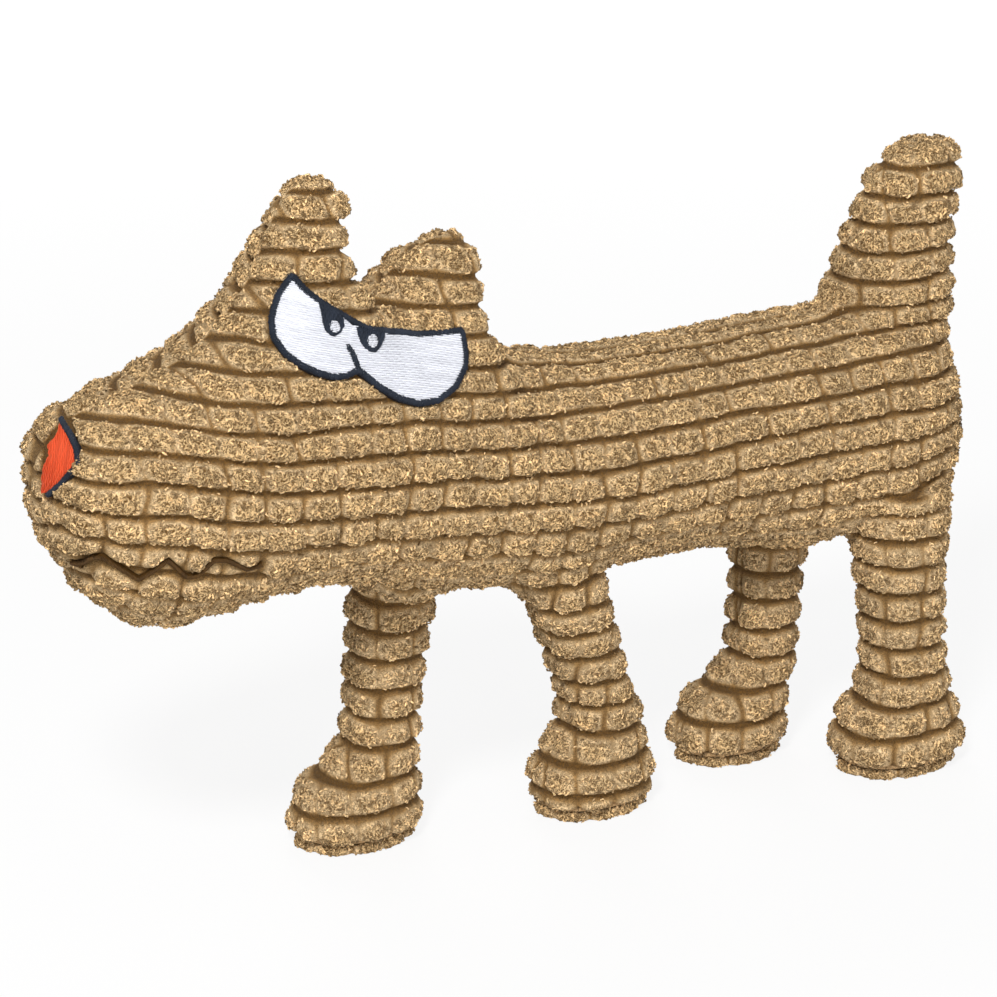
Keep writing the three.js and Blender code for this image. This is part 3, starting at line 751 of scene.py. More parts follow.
def makePileTree():
    tree, given, out = newShapeTree("ribPile", [*ribs, "seed"])
    place = newValue(tree, "GeometryNodeInputPosition")
    normal = newValue(tree, "GeometryNodeInputNormal")
    form = pileForm
    pitch = given["ribPitch"]
    wander = given["wander"]

    # The ribs sway and the tufts drift a little, as the cloth does when it is stuffed
    broad, tight = [noiseAt(place, pitch * size, 0.0, 0.0, seed)
                    for size, seed in zip(form["noiseSizes"], (given["seed"], 7.0))]
    broadShare, tightShare = form["swayShares"]
    sway = (broad * broadShare + tight * tightShare - form["swayMiddle"]) * wander
    drift = (tight - 0.5) * (wander * form["drift"])
    across = (namedValue(tree, "panelV") + sway) / pitch
    rib = maths("FLOOR", across)
    along = (namedValue(tree, "panelU") + drift) / given["tuftLength"] + diceAt(rib, 3.0) * form["stagger"]
    chance = diceAt(rib, maths("FLOOR", along))
    cutChance = diceAt(rib, maths("FLOOR", along + 0.5), 5.0)

    ribDome = roundedCell(maths("FRACT", across) ** form["skew"], given["grooveShare"], *form["ribDome"])
    cutDome = roundedCell(maths("FRACT", along), form["cutGap"], *form["cutDome"])
    cutDepth = given["cutShare"] * stepped(cutChance, 0.1, 0.9, *form["cutDepths"])
    cut = 1.0 - cutDepth * (1.0 - cutDome)
    full = maths("MULTIPLY_ADD", chance, *form["fullness"])
    depth = ribDome * cut * full * namedValue(tree, "pileShare")
    height = depth * stepped(namedValue(tree, "seamNear"), 0.0, given["seamWidth"], form["seamHeight"])

    clumps = (noiseAt(place, given["clump"], 1.5, 0.6, 3.0) - 0.5) * (given["clumpHeight"] * 2.0)
    clumps = clumps * maths("MULTIPLY_ADD", height, *form["clumpGrowth"])
    rise = maths("MULTIPLY_ADD", height, given["pileHeight"], clumps)

    cloth = given["Geometry"]
    for name, value in (("pileDepth", depth), ("tuftChance", chance), ("ribNumber", rib)):
        cloth = keepValue(cloth, name, value)
    down = vectorTimes((0.0, 0.0, -1.0), height * given["pileHeight"] * given["droop"])
    shift = vectorMaths("ADD", vectorTimes(normal, rise), down)
    moved = newValue(tree, "GeometryNodeSetPosition", {"Geometry": cloth, "Offset": shift})
    return dressed(realized(moved), given, out)


# Geometry Nodes: short curled ends of fleece that stand on the tufts

curls = {
    "curlDensity": 0.52e6,        # on each square metre of full pile
    "curlRadius": 0.56 * mm,
    "strandRadius": 0.31 * mm,
    "sizeSpread": 0.45,
}
curlForm = {
    "growFrom": (0.34, 0.6),       # depth of pile where the first curls stand, and where all do
    "sweep": math.radians(210),
    "start": math.radians(-15),
    "thickness": (0.7, 0.3),       # what the middle of a strand has more than its ends, and its ends
    "squashed": 0.75,
    "tilt": 0.75,
}


# A thin tube along a curve, with as many sides as the count says.
def tubeAlong(curve, radius, count, caps=False):
    ring = newValue(curve.tree, "GeometryNodeCurvePrimitiveCircle", {"Resolution": count, "Radius": radius})
    sockets = {"Curve": curve, "Profile Curve": ring, "Fill Caps": caps}
    return newValue(curve.tree, "GeometryNodeCurveToMesh", sockets)


# The sine of half a turn along each curve: 0 at its ends and 1 in its middle.
def bowAlong(tree):
    return maths("SINE", newValue(tree, "GeometryNodeSplineParameter", output="Factor") * math.pi)


def makeCurlTree():
    tree, given, out = newShapeTree("fleeceCurls", curls)
    form = curlForm
    density = given["curlDensity"] * stepped(namedValue(tree, "pileDepth"), *form["growFrom"])
    scatter = newNode(tree, "GeometryNodeDistributePointsOnFaces",
                      {"Mesh": given["Geometry"], "Density": density, "Seed": 11}, distribute_method="RANDOM")
    arc = newValue(tree, "GeometryNodeCurveArc",
                   {"Resolution": 4, "Radius": given["curlRadius"], "Sweep Angle": form["sweep"],
                    "Start Angle": form["start"]})
    tip = bowAlong(tree)
    tapered = newValue(tree, "GeometryNodeSetCurveRadius",
                       {"Curve": arc, "Radius": maths("MULTIPLY_ADD", tip, *form["thickness"])})
    # The bow's height along each curl is kept for the plush shader, which paints shade toward the curl's ends
    # at the cloth
    strand = tubeAlong(keepValue(tapered, "curlRootShade", tip), given["strandRadius"], 3)
    stand = newValue(tree, "GeometryNodeTransform",   # the bow stands up from the cloth
                     {"Geometry": strand, "Rotation": (math.radians(90), 0, 0),
                      "Scale": (1.0, form["squashed"], 1.0)})

    def dice(low, high, seed, kind="FLOAT"):
        node = newNode(tree, "FunctionNodeRandomValue", {"Seed": seed}, data_type=kind)
        for socket, value in zip([s for s in node.inputs if s.enabled], (low, high)):
            fillSocket(socket, value)
        return Value(firstInUse(node.outputs))

    tilt = form["tilt"]
    turn = newValue(tree, "FunctionNodeEulerToRotation",
                    {0: dice((-tilt, -tilt, -3.14), (tilt, tilt, 3.14), 5, "FLOAT_VECTOR")})
    lean = newValue(tree, "FunctionNodeRotateRotation", {0: Value(scatter.outputs["Rotation"]), 1: turn},
                    rotation_space="LOCAL")
    spread = given["sizeSpread"]
    placed = newValue(tree, "GeometryNodeInstanceOnPoints",
                      {"Points": Value(scatter.outputs["Points"]), "Instance": stand, "Rotation": lean,
                       "Scale": dice(1.0 - spread, spread + 1.0, 8)})
    toned = keepValue(placed, "curlTone", dice(0.2, 1.0, 3), "INSTANCE")
    join = newNode(tree, "GeometryNodeJoinGeometry")
    for part in (realized(toned), given["Geometry"]):
        fillSocket(join.inputs[0], part)
    return dressed(Value(join.outputs[0]), given, out)


# Geometry Nodes: every loose edge becomes one stitch of thread, bowed along its "out" direction

def makeStitchTree():
    tree, given, out = newShapeTree("threadStitches",
                                    ["threadRadius", "stitchRise", "stitchSink", "unevenness"])
    line = newValue(tree, "GeometryNodeMeshToCurve", {"Mesh": given["Geometry"]})
    cut = newValue(tree, "GeometryNodeResampleCurve", {"Count": 6, "Curve": line})
    sink = given["stitchSink"]
    which = newValue(tree, "GeometryNodeCurveOfPoint", output="Curve Index")
    high = bowAlong(tree) ** 0.6 * (given["stitchRise"] + sink) - sink
    high = high + (diceAt(which, 2.0) - 0.5) * given["unevenness"]
    outward = vectorTimes(namedValue(tree, "out", "FLOAT_VECTOR"), high)
    moved = newValue(tree, "GeometryNodeSetPosition", {"Geometry": cut, "Offset": outward})
    toned = keepValue(moved, "stitchTone", diceAt(which, 4.0), "CURVE")
    tube = tubeAlong(toned, given["threadRadius"], 5, True)
    soft = newValue(tree, "GeometryNodeSetShadeSmooth", {"Geometry": tube})
    return dressed(realized(soft), given, out)


def runTree(piece, tree, **values):
    step = piece.modifiers.new(tree.name, "NODES")
    step.node_group = tree
    sockets = {i.name: i.identifier for i in tree.interface.items_tree if i.in_out == "INPUT"}
    for name, value in values.items():
        step[sockets[name]] = value
    return applied(piece)


# Shader groups that several materials share

# Winding curls: two sets of thin ridges, one over the other.
def makeFleeceGroup():
    inputs = {"place": "vector", "curlSize": "value", "curlWidth": "value"}
    tree, given, out = newTree("curledFleece", "ShaderNodeTree", inputs, {"curl": "value", "fuzz": "value"})
    ridges = []
    for seed in (1.0, 4.0):
        line = maths("ABSOLUTE", noiseAt(given["place"], given["curlSize"], 1.0, 1.4, seed) - 0.5)
        ridges.append(stepped(line, 0.0, given["curlWidth"], 1.0, 0.0))
    fillSocket(out["curl"], maths("MAXIMUM", *ridges))
    fillSocket(out["fuzz"], noiseAt(given["place"], given["curlSize"] * 0.3, 1.0, 0.5, 2.0))
    return tree


# Twisted thread: fine streaks with a little unevenness of dye.
def makeThreadGroup():
    inputs = {"place": "vector", "plySize": "value", "contrast": "value", "colour": "colour"}
    outputs = {"colour": "colour", "height": "value"}
    tree, given, out = newTree("twistedThread", "ShaderNodeTree", inputs, outputs)
    ply = noiseAt(given["place"], given["plySize"], 1.0, 0.8, 1.0)
    dye = noiseAt(given["place"], given["plySize"] * 12.0, 1.0, 0.0, 6.0)
    shade = (ply * 0.7 + dye * 0.3 - 0.5) * given["contrast"] + 1.0
    fillSocket(out["colour"], vectorTimes(given["colour"], shade))
    fillSocket(out["height"], ply)
    return tree


fleeceGroup = makeFleeceGroup()
threadGroup = makeThreadGroup()


def newMaterial(name):
    material = bpy.data.materials.new(name)
    material.use_nodes = True
    tree = material.node_tree
    return material, tree.nodes["Principled BSDF"], newValue(tree, "ShaderNodeTexCoord", output="Object")


def fromGroup(group, **values):
    node = newNode(treeOf(values.values()), "ShaderNodeGroup", values, node_tree=group)
    return {socket.name: Value(socket) for socket in node.outputs}


def attributeValue(tree, name):
    return newValue(tree, "ShaderNodeAttribute", output="Fac", attribute_name=name)


def mixedColour(share, a, b):
    return newValue(share.tree, "ShaderNodeMix", {"Factor": share, "A": a, "B": b}, data_type="RGBA")


def bumpFrom(height, distance, strength=1.0):
    return newValue(height.tree, "ShaderNodeBump",
                    {"Strength": strength, "Distance": distance, "Height": height})


plushLook = {
    # The first colour is painted shade down in the grooves, the second painted shade up the ribs' sides, the
    # third a painted highlight along the tufts' shoulders; the last is the plush's own tan
    "grooveShade": (0.135, 0.068, 0.018, 1),
    "side": (0.375, 0.222, 0.086, 1),
    "rim": (0.82, 0.59, 0.33, 1),
    "top": (0.735, 0.50, 0.247, 1),
    "fold": (0.098, 0.046, 0.010, 1),   # painted shade in the hollows between the curls
    # The colours on the way from the groove, which ends at the first number, up to the top of the pile:
    # painted shade in the groove and up the rib's side, a painted highlight on the tufts' shoulders, and the
    # plush's own tan on top
    "grooveEnd": 0.02,
    "climb": ((0.28, "side"), (0.56, "rim"), (0.8, "top")),
    "curlPlace": 0.72,                  # the curls take at least the colour at this height
    "curlShare": (0.16, 1.0),
    # The curls take a painted highlight: their colour is lifted by the second gain, the cloth's by the first
    "clothGain": 1.06,
    "curlHighlightGain": 1.9,
    "curlSize": 1.9 * mm,
    "curlWidth": 0.075,
    "patchSize": 24 * mm,               # broad lighter and darker patches
    "patchGain": (0.93, 1.07),
    "tuftGain": (0.1, 0.95),
    "fuzz": 0.5,
    "ridges": 0.75,
    # painted shade at the ends of a curl: they keep the second share of the colour, the middle all of it
    "strandRootShade": (0.45, 0.55),
    # depths over which the painted shade turns from the grooves' colour to the hollows' colour
    "foldFrom": (0.1, 0.4),
    "bumpHeight": 0.5 * mm,
}
plushShine = {
    "Roughness": 0.96,
    "Specular IOR Level": 0.12,
    "Sheen Weight": 0.08,
    "Sheen Roughness": 0.5,
    "Sheen Tint": (1.0, 0.86, 0.64, 1),
}


def plushMaterial(name, look, shine):
    material, shader, place = newMaterial(name)
    tree = place.tree
    depth, tone, tip, chance = [attributeValue(tree, key)
                                for key in ("pileDepth", "curlTone", "curlRootShade", "tuftChance")]
    onCurl = maths("GREATER_THAN", tone, 0.1)
    # The colour climbs with the pile's depth from painted shade in the grooves, through a painted highlight
    # on the tufts' shoulders, to the plush's own tan
    climb = newNode(tree, "ShaderNodeValToRGB", {"Fac": maths("MAXIMUM", depth, onCurl * look["curlPlace"])})
    colours = climb.color_ramp.elements
    colours[0].position = look["grooveEnd"]
    colours[0].color = look["grooveShade"]
    colours[1].color = look["top"]
    for at, colour in look["climb"]:
        colours.new(at).color = look[colour]
    fleece = fromGroup(fleeceGroup, place=place, curlSize=look["curlSize"], curlWidth=look["curlWidth"])
    curl = maths("MULTIPLY_ADD", fleece["fuzz"], look["fuzz"], fleece["curl"] * look["ridges"], clamp=True)
    # Painted shade in the hollows between the curled ridges of the cloth, weaker down in the grooves
    clothLitShare = stepped(curl, 0.1, 0.9)
    clothLitShare = maths("MULTIPLY_ADD", clothLitShare - 1.0, stepped(depth, 0.3, 0.8, 0.3, 1.0), 1.0)
    # Random tone of each curl, with painted shade toward its ends where it meets the cloth
    strand = stepped(tone, 0.2, 1.0, *look["curlShare"]) * maths("MULTIPLY_ADD", tip, *look["strandRootShade"])
    share = newValue(tree, "ShaderNodeMix", {"Factor": onCurl, "A": clothLitShare, "B": strand})
    # The curls are brightened as a painted highlight, the cloth between them barely
    gain = maths("MULTIPLY_ADD", onCurl, look["curlHighlightGain"] - look["clothGain"], look["clothGain"])
    patchy = noiseAt(place, look["patchSize"], 2.0, 0.0, 9.0)
    gain = gain * stepped(patchy, 0.3, 0.7, *look["patchGain"])
    gain = gain * maths("MULTIPLY_ADD", chance, *look["tuftGain"])
    light = vectorTimes(Value(climb.outputs["Color"]), gain)
    # The dark colour is painted shade: the grooves' below the first depth, the hollows' above it
    dark = mixedColour(stepped(depth, *look["foldFrom"]), look["grooveShade"], look["fold"])
    fillSockets(shader, {"Base Color": mixedColour(share, dark, light),
                         "Normal": bumpFrom(curl, look["bumpHeight"]), **shine})
    return material


threadForm = {"plySize": 0.22 * mm, "bumpHeight": 0.06 * mm}
threadShine = {"Roughness": 0.55, "Specular IOR Level": 0.22}
threadLooks = {
    "white": {"colour": (0.76, 0.77, 0.82, 1), "contrast": 0.35},
    "navy": {"colour": (0.018, 0.024, 0.038, 1), "contrast": 0.9},
    "orange": {"colour": (0.70, 0.088, 0.026, 1), "contrast": 0.5},
    "brown": {"colour": (0.085, 0.040, 0.008, 1), "contrast": 0.9},
}


def threadMaterial(name, look):
    material, shader, place = newMaterial(name)
    thread = fromGroup(threadGroup, place=place, plySize=threadForm["plySize"], **look)
    tone = stepped(attributeValue(place.tree, "stitchTone"), 0.0, 1.0, 1 - look["contrast"] * 0.3, 1.05)
    fillSockets(shader, {"Base Color": vectorTimes(thread["colour"], tone),
                         "Normal": bumpFrom(thread["height"], threadForm["bumpHeight"]), **threadShine})
    return material


# The second colour is painted shade in the hollows of the knit
seamLook = {"colour": (0.60, 0.385, 0.185, 1), "fold": (0.36, 0.205, 0.08, 1), "curlSize": 0.7 * mm,
            "curlWidth": 0.12, "bumpHeight": 0.12 * mm, "roughness": 0.9}


# The turned edge of the backing cloth, without pile: a close knit, with painted shade in the hollows of the
# knit.
def seamMaterial(name, look):
    material, shader, place = newMaterial(name)
    knit = fromGroup(fleeceGroup, place=place, curlSize=look["curlSize"], curlWidth=look["curlWidth"])["curl"]
    fillSockets(shader, {"Base Color": mixedColour(knit, look["fold"], look["colour"]),
                         "Normal": bumpFrom(knit, look["bumpHeight"]), "Roughness": look["roughness"]})
    return material


squeakerLook = {"colour": (0.78, 0.77, 0.72, 1), "mark": (0.66, 0.65, 0.60, 1), "markSize": 5 * mm,
                "grainSize": 0.6 * mm, "grainHeight": 0.03 * mm, "roughness": (0.38, 0.5)}


# Squeaker plastic: slightly cloudy, with faint flow marks.
def squeakerMaterial(name, look):
    material, shader, place = newMaterial(name)
    flow = noiseAt(place, look["markSize"], 3.0, 1.5, 2.0)
    grain = noiseAt(place, look["grainSize"], 2.0)
    fillSockets(shader, {"Base Color": mixedColour(flow, look["mark"], look["colour"]),
                         "Roughness": stepped(flow, 0.3, 0.7, *look["roughness"]),
                         "Normal": bumpFrom(grain, look["grainHeight"], 0.5)})
    return material


plush = plushMaterial("tanRibPlush", plushLook, plushShine)
threads = {colour: threadMaterial(colour + "Thread", look) for colour, look in threadLooks.items()}
seamCloth = seamMaterial("tanSeamCloth", seamLook)
squeakerPlastic = squeakerMaterial("squeakerPlastic", squeakerLook)
pileTree = makePileTree()
curlTree = makeCurlTree()
stitchTree = makeStitchTree()
print("materials and node trees made")


# Cutting the finished plush into its pieces: the body, the legs, the tail and the ears

cuts = {
    "legFrom": 82.6 * mm,     # a leg is cut off along the first groove above this height
    "legBelow": 95 * mm,
    "tailFrom": 173 * mm,
    "earFrom": {"ear_front": 210 * mm, "ear_rear": 195.5 * mm},
    "earEnd": -15 * mm,
    "earMargins": (12 * mm, 8 * mm),
    "earLean": 0.13,          # the ribs of the ears slope a little toward the back
    "owned": 0.97,            # a point is a limb's own when the limb's share of it is above this
    "earBand": 2 * mm,        # the ribs of an ear are measured in a band this far each side of its middle
    "bend": 16 * mm,          # length of the bend span worked out for each limb
    "clear": 0.5 * mm,        # the span starts this far past the cut
    "neckStart": (-84 * mm, 0, 63 * mm),
    "neckEnd": (-108 * mm, 0, 81 * mm),
    "plug": 5 * mm,           # how far a closed end is drawn in
    "bodyMiddle": 110 * mm,   # the body's ends below this are drawn up and the others down
}
faceLow = (-1, -1, 115 * mm)
faceHigh = (-25 * mm, 2 * mm, 1)


# Chains the open edges of a set of faces into loops.
def openLoops(faces):
    runs = np.concatenate([np.stack([faces[:, i], faces[:, (i + 1) % 4]], 1) for i in range(4)])
    runs = runs[runs[:, 0] != runs[:, 1]]
    keys = np.sort(runs, axis=1)
    _, first, count = np.unique(keys, axis=0, return_index=True, return_counts=True)
    nextPoint = {}
    for a, b in runs[first[count == 1]]:
        nextPoint.setdefault(int(a), []).append(int(b))
    loops = []
    while nextPoint:
        start = next(iter(nextPoint))
        loop = [start]
        while True:
            following = nextPoint.get(loop[-1])
            if not following:
                break
            point = following.pop()
            if not following:
                del nextPoint[loop[-1]]
            if point == start:
                break
            loop.append(point)
        loops.append(loop)
    return [loop for loop in loops if len(loop) > 2]


def cutPiece(skin, faces, name, way):
    used, renumbered = np.unique(faces, return_inverse=True)
    faces = renumbered.reshape(faces.shape)
    co = pointsOf(skin.data)[used]
    loops = openLoops(faces)
    caps = []
    middles = []
    for loop in loops:
        middle = co[loop].mean(0)
        inward = way or (1 if middle[2] < cuts["bodyMiddle"] else -1)
        for a, b in zip(loop, loop[1:] + loop[:1]):
            caps.append((b, a, len(co) + len(middles)))
        middles.append(middle + Vector((0, 0, inward * cuts["plug"])))
    flat = [tuple(dict.fromkeys(face)) for face in faces.tolist()]
    flat = [face for face in flat if len(face) > 2]
    piece = linkMesh(name, np.concatenate([co, np.array(middles).reshape(-1, 3)]), flat + caps)
    mesh = piece.data
    for value in ("pileDepth", "tuftChance"):
        storeValues(mesh, value, np.concatenate([valuesOf(skin.data, value)[used], np.zeros(len(middles))]))
    mesh.polygons.foreach_set("use_smooth", np.arange(len(mesh.polygons)) < len(flat))
    rim = {frozenset((a, b)) for a, b, _ in caps}
    sharp = mesh.attributes.new("sharp_edge", "BOOLEAN", "EDGE")
    ends = readAll(mesh.edges, "vertices", 2, int)
    sharp.data.foreach_set("value", [frozenset(pair) in rim for pair in ends.reshape(-1, 2).tolist()])
    mesh.materials.append(plush)
    return piece, np.concatenate([co[loop] for loop in loops])


# Says of every point of the skin whether it belongs to a limb or an ear, which ends at a groove.
def partOf(name, skin, co, limbs):
    c = cuts
    rib = valuesOf(skin.data, "ribNumber")
    x, y, z = co.T
    if name in limbs:
        weight, lift = limbs[name]
        tail = name == "tail"
        first = math.ceil((c["tailFrom" if tail else "legFrom"] + lift) / ribs["ribPitch"])
        return (weight > c["owned"]) & (rib >= first if tail else (rib < first) & (z < c["legBelow"]))
    side = (x < notch) if name == "ear_front" else (x > notch) & (x < c["earEnd"])
    lowest = c["earFrom"][name]
    lo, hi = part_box(name)
    middle = (lo[0] + hi[0]) / 2
    wide, narrow = c["earMargins"]
    near = side & (np.abs(x - middle) < c["earBand"]) & (y < -4 * mm) & (z > lowest - wide)
    levels = [z[near & (rib == number)].max() for number in np.unique(rib[near])]
    leaning = z + c["earLean"] * (x - middle)
    return side & (leaning > min(level for level in levels if level > lowest)) & (z > lowest - narrow)


def cutSkin(skin, co, limbs):
    owner = np.zeros(len(co), int)
    names = [*limbs, "ear_front", "ear_rear"]
    for number, name in enumerate(names, 1):
        owner[partOf(name, skin, co, limbs)] = number
    faces = facesOf(skin.data)
    faceOwner = owner[faces]
    faceOwner = np.where((faceOwner == faceOwner[:, :1]).all(1), faceOwner[:, 0], 0)
    pieces = {}
    for number, name in enumerate(["body"] + names):
        way = {"body": 0, "tail": 1, "ear_front": 1, "ear_rear": 1}.get(name, -1)   # up or down from its root
        piece, rim = cutPiece(skin, faces[faceOwner == number], name + "_cover", way)
        if name == "body":
            bend = dict(a="torso", b="head", start=cuts["neckStart"], end=cuts["neckEnd"])
        else:
            start = rim[:, 2].max() + cuts["clear"] if way > 0 else rim[:, 2].min() - cuts["clear"]
            bend = dict(a="head" if name.startswith("ear") else "torso", b=name, start=(0, 0, start),
                        end=(0, 0, start + way * cuts["bend"]))
            print(name, "bends from", round(start / mm, 1), "mm,", len(rim), "rim points")
        pieces[name] = piece, bend
    return pieces


skin = sewSkin()
print("skin sewn:", len(skin.data.vertices), "points")
skinPoints, limbs = addPanelFields(skin)


# The bare cloth of the left side of the face, which the embroidery lies on.
def faceCloth(skin, co):
    faces = facesOf(skin.data)
    side = ((co > faceLow) & (co < faceHigh)).all(1)
    kept = faces[side[faces].all(1)]
    return BVHTree.FromPolygons(co.tolist(), [tuple(dict.fromkeys(face)) for face in kept.tolist()])


backing = faceCloth(skin, skinPoints)
runTree(skin, pileTree, seed=1.0, material=plush, **ribs)
covers = cutSkin(skin, skinPoints, limbs)
bpy.data.objects.remove(skin)
for name, (cover, bend) in covers.items():
    runTree(cover, curlTree, material=plush, **curls)
    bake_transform(cover)
    for node in ("torso", "head") if name == "body" else (name,):
        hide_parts(node)
print("covers cut:", {name: len(cover.data.polygons) for name, (cover, _) in covers.items()})


# Embroidery: each patch is a thin base with rows of thread laid over it

stitchSizes = {
    "radius": 0.2 * mm,
    "rise": 0.12 * mm,
    "satinRise": 0.35 * mm,
    "satinStep": 0.42 * mm,
    "slant": 0.25 * mm,
    "sink": 0.25 * mm,
    "unevenness": 0.12 * mm,
    "grid": 0.25 * mm,        # how finely the ends of the rows are found
    "brick": 0.37,            # how far the breaks of a row are moved on from the last row's
    "patchUnder": 0.15 * mm,  # how far the tops of the bases lie under the stitches
    "lineUnder": 0.3 * mm,
    "foot": -0.4 * mm,        # and how far the bases go down into the cloth
    "patchEdge": 2 * mm,
    "trackStep": 0.3 * mm,
    "trackReach": 0.7 * mm,
}
headSurface = cadSurface(["head", "ear_front", "ear_rear"])


# The nearest place on the face's cloth, lifted off it, and the way out of the cloth there.
def ontoCloth(point, lift):
    place, normal, _, _ = backing.find_nearest(point)
    return place + normal * lift, normal


# From a place on a flat sheet straight onto the head, then lifted off the cloth.
def ontoFace(s, t, way, lift):
    start = alongSheet(way) * s + Vector((0, 0, t)) - way * sheetAway
    surface = headSurface if way is noseWay else backing
    hit = surface.ray_cast(start, way, 2 * sheetAway)[0] or headSurface.ray_cast(start, way, 2 * sheetAway)[0]
    return ontoCloth(hit or start + way * (sheetAway + nose["depth"]), lift)


def joinMeshes(name, first, second, material):
    both = bmesh.new()
    for part in (first, second):
        both.from_mesh(part.data)
        bpy.data.objects.remove(part)
    piece = newObject(name, written(both, bpy.data.meshes.new(name)))
    piece.data.materials.clear()
    piece.data.materials.append(material)
    return piece


# The base of a patch: its outline laid over the face, a little below the stitches and down into the pile.
def patchBase(outline, way, lift):
    sheet = bmesh.new()
    sheet.faces.new([sheet.verts.new((s, t, 0)) for s, t in outline])
    bmesh.ops.triangulate(sheet, faces=sheet.faces)
    for _ in range(3):
        long = [e for e in sheet.edges if e.calc_length() > stitchSizes["patchEdge"]]
        bmesh.ops.subdivide_edges(sheet, edges=long, cuts=1)
        bmesh.ops.triangulate(sheet, faces=sheet.faces)
    sheet.verts.index_update()
    count = len(sheet.verts)
    spots = [(v.co.x, v.co.y) for v in sheet.verts]
    heights = (lift - stitchSizes["patchUnder"], stitchSizes["foot"])
    points = [ontoFace(s, t, way, height)[0] for height in heights for s, t in spots]
    top = [[v.index for v in face.verts] for face in sheet.faces]
    under = [[i + count for i in reversed(face)] for face in top]
    sides = []
    for edge in sheet.edges:
        if edge.is_boundary:
            loop = edge.link_loops[0]
            a, b = loop.vert.index, loop.link_loop_next.vert.index
            sides.append([b, a, a + count, b + count])
    sheet.free()
    return roundedBase(points, top + under + sides)


def roundedBase(points, faces):
    base = linkMesh("base", points, faces)
    shape = bmesh.new()
    shape.from_mesh(base.data)
    bmesh.ops.recalc_face_normals(shape, faces=shape.faces)
    written(shape, base.data)
    return base


# The faces round a tube, from each ring of points to the next, and from the last to the first when closed.
def tubeFaces(rings, around, closed=True):
    faces = []
    for i in range(rings if closed else rings - 1):
        here = i * around
        following = (i + 1) % rings * around
        for k in range(around):
            beside = (k + 1) % around
            faces.append((here + k, following + k, following + beside, here + beside))
    return faces


# The base of an embroidered line: a flat band along it.
def lineBase(track, lift, width, closed):
    top = lift - stitchSizes["lineUnder"]
    foot = stitchSizes["foot"]
    points = [ontoCloth(here + side * hand * width / 2, height)[0] for here, side, _ in track
              for hand, height in ((-1, top), (1, top), (1, foot), (-1, foot))]
    faces = tubeFaces(len(track), 4, closed)
    if not closed:
        faces += [(3, 2, 1, 0), tuple(range(len(points) - 4, len(points)))]
    return roundedBase(points, faces)


# Rows of fill stitches over an outline, each row broken at other places than the last.
def fillRows(outline, way, lift, tilt, rowStep, stitchLength):
    cosine = math.cos(tilt)
    sine = math.sin(tilt)
    turned = np.array(outline) @ np.array([[cosine, -sine], [sine, cosine]])
    low = turned.min(0)
    high = turned.max(0)
    fine = stitchSizes["grid"]
    stitches = []
    for number, t in enumerate(np.arange(low[1] + rowStep * 0.4, high[1], rowStep)):
        places = np.arange(low[0] - fine, high[0] + 2 * fine, fine)
        across = np.full(len(places), t)
        within = insideOutline([tuple(p) for p in turned], places, across)
        turns = np.flatnonzero(np.diff(within.astype(int)))
        shift = (number * stitchSizes["brick"] % 1) * stitchLength
        for first, last in zip(turns[::2] + 1, turns[1::2]):
            marks = [first]
            for k in range(first + 3, last - 2):
                if (places[k] + shift) // stitchLength != (places[k - 1] + shift) // stitchLength:
                    marks.append(k)
            marks.append(last)
            ends = [ontoFace(s * cosine - t * sine, s * sine + t * cosine, way, lift) for s in places[marks]]
            stitches += zip(ends, ends[1:])
    return stitches


# Places along a line on the face, each with the way across the line and out of the cloth.
def faceTrack(line, way, pitch, closed=False):
    line = np.array(line, float)
    if closed:
        line = np.vstack([line, line[:1]])
    total = np.concatenate([[0], np.cumsum(np.hypot(*np.diff(line, axis=0).T))])
    dense = np.arange(0, total[-1], stitchSizes["trackStep"])
    flat = [(np.interp(d, total, line[:, 0]), np.interp(d, total, line[:, 1])) for d in dense]
    track = np.array([ontoFace(s, t, way, 0)[0] for s, t in flat])
    for _ in range(5):   # rounds off the corners
        middle = (np.roll(track, 1, 0) + track * 2 + np.roll(track, -1, 0)) / 4
        track = middle if closed else np.vstack([track[:1], middle[1:-1], track[-1:]])
    if closed:
        track = np.vstack([track, track[:1]])
    total = np.concatenate([[0], np.cumsum(np.linalg.norm(np.diff(track, axis=0), axis=1))])
    places = []
    for d in np.linspace(0, total[-1], int(total[-1] / pitch), endpoint=not closed):
        around = (d - stitchSizes["trackReach"], d + stitchSizes["trackReach"])
        if closed:
            around = [e % total[-1] for e in around]
        spots = [[np.interp(e, total, column) for column in track.T] for e in (d, *around)]
        here, before, after = [Vector(spot) for spot in spots]
        normal = ontoCloth(here, 0)[1]
        ahead = (after - before).normalized()
        places.append((here, normal.cross(ahead).normalized(), normal))
    return places


# Short stitches across a line, side by side and not quite of one length.
def satinStitches(track, width, lift, slant):
    stitches = []
    for number, (here, side, normal) in enumerate(track):
        longer = 1 + 0.22 * math.sin(number * 2.4) * math.cos(number * 0.9)
        reach = side * width / 2 * longer + normal.cross(side) * slant
        stitches.append((ontoCloth(here - reach, lift), ontoCloth(here + reach, lift)))
    return stitches


def sewStitches(name, stitches, thread, radius, rise):
    points, ways = zip(*[end for stitch in stitches for end in stitch])
    piece = linkMesh(name, points, [], [(2 * i, 2 * i + 1) for i in range(len(stitches))])
    out = piece.data.attributes.new("out", "FLOAT_VECTOR", "POINT")
    out.data.foreach_set("vector", np.array(ways, np.float32).ravel())
    return runTree(piece, stitchTree, threadRadius=radius, stitchRise=rise, stitchSink=stitchSizes["sink"],
                   unevenness=stitchSizes["unevenness"], material=threads[thread])


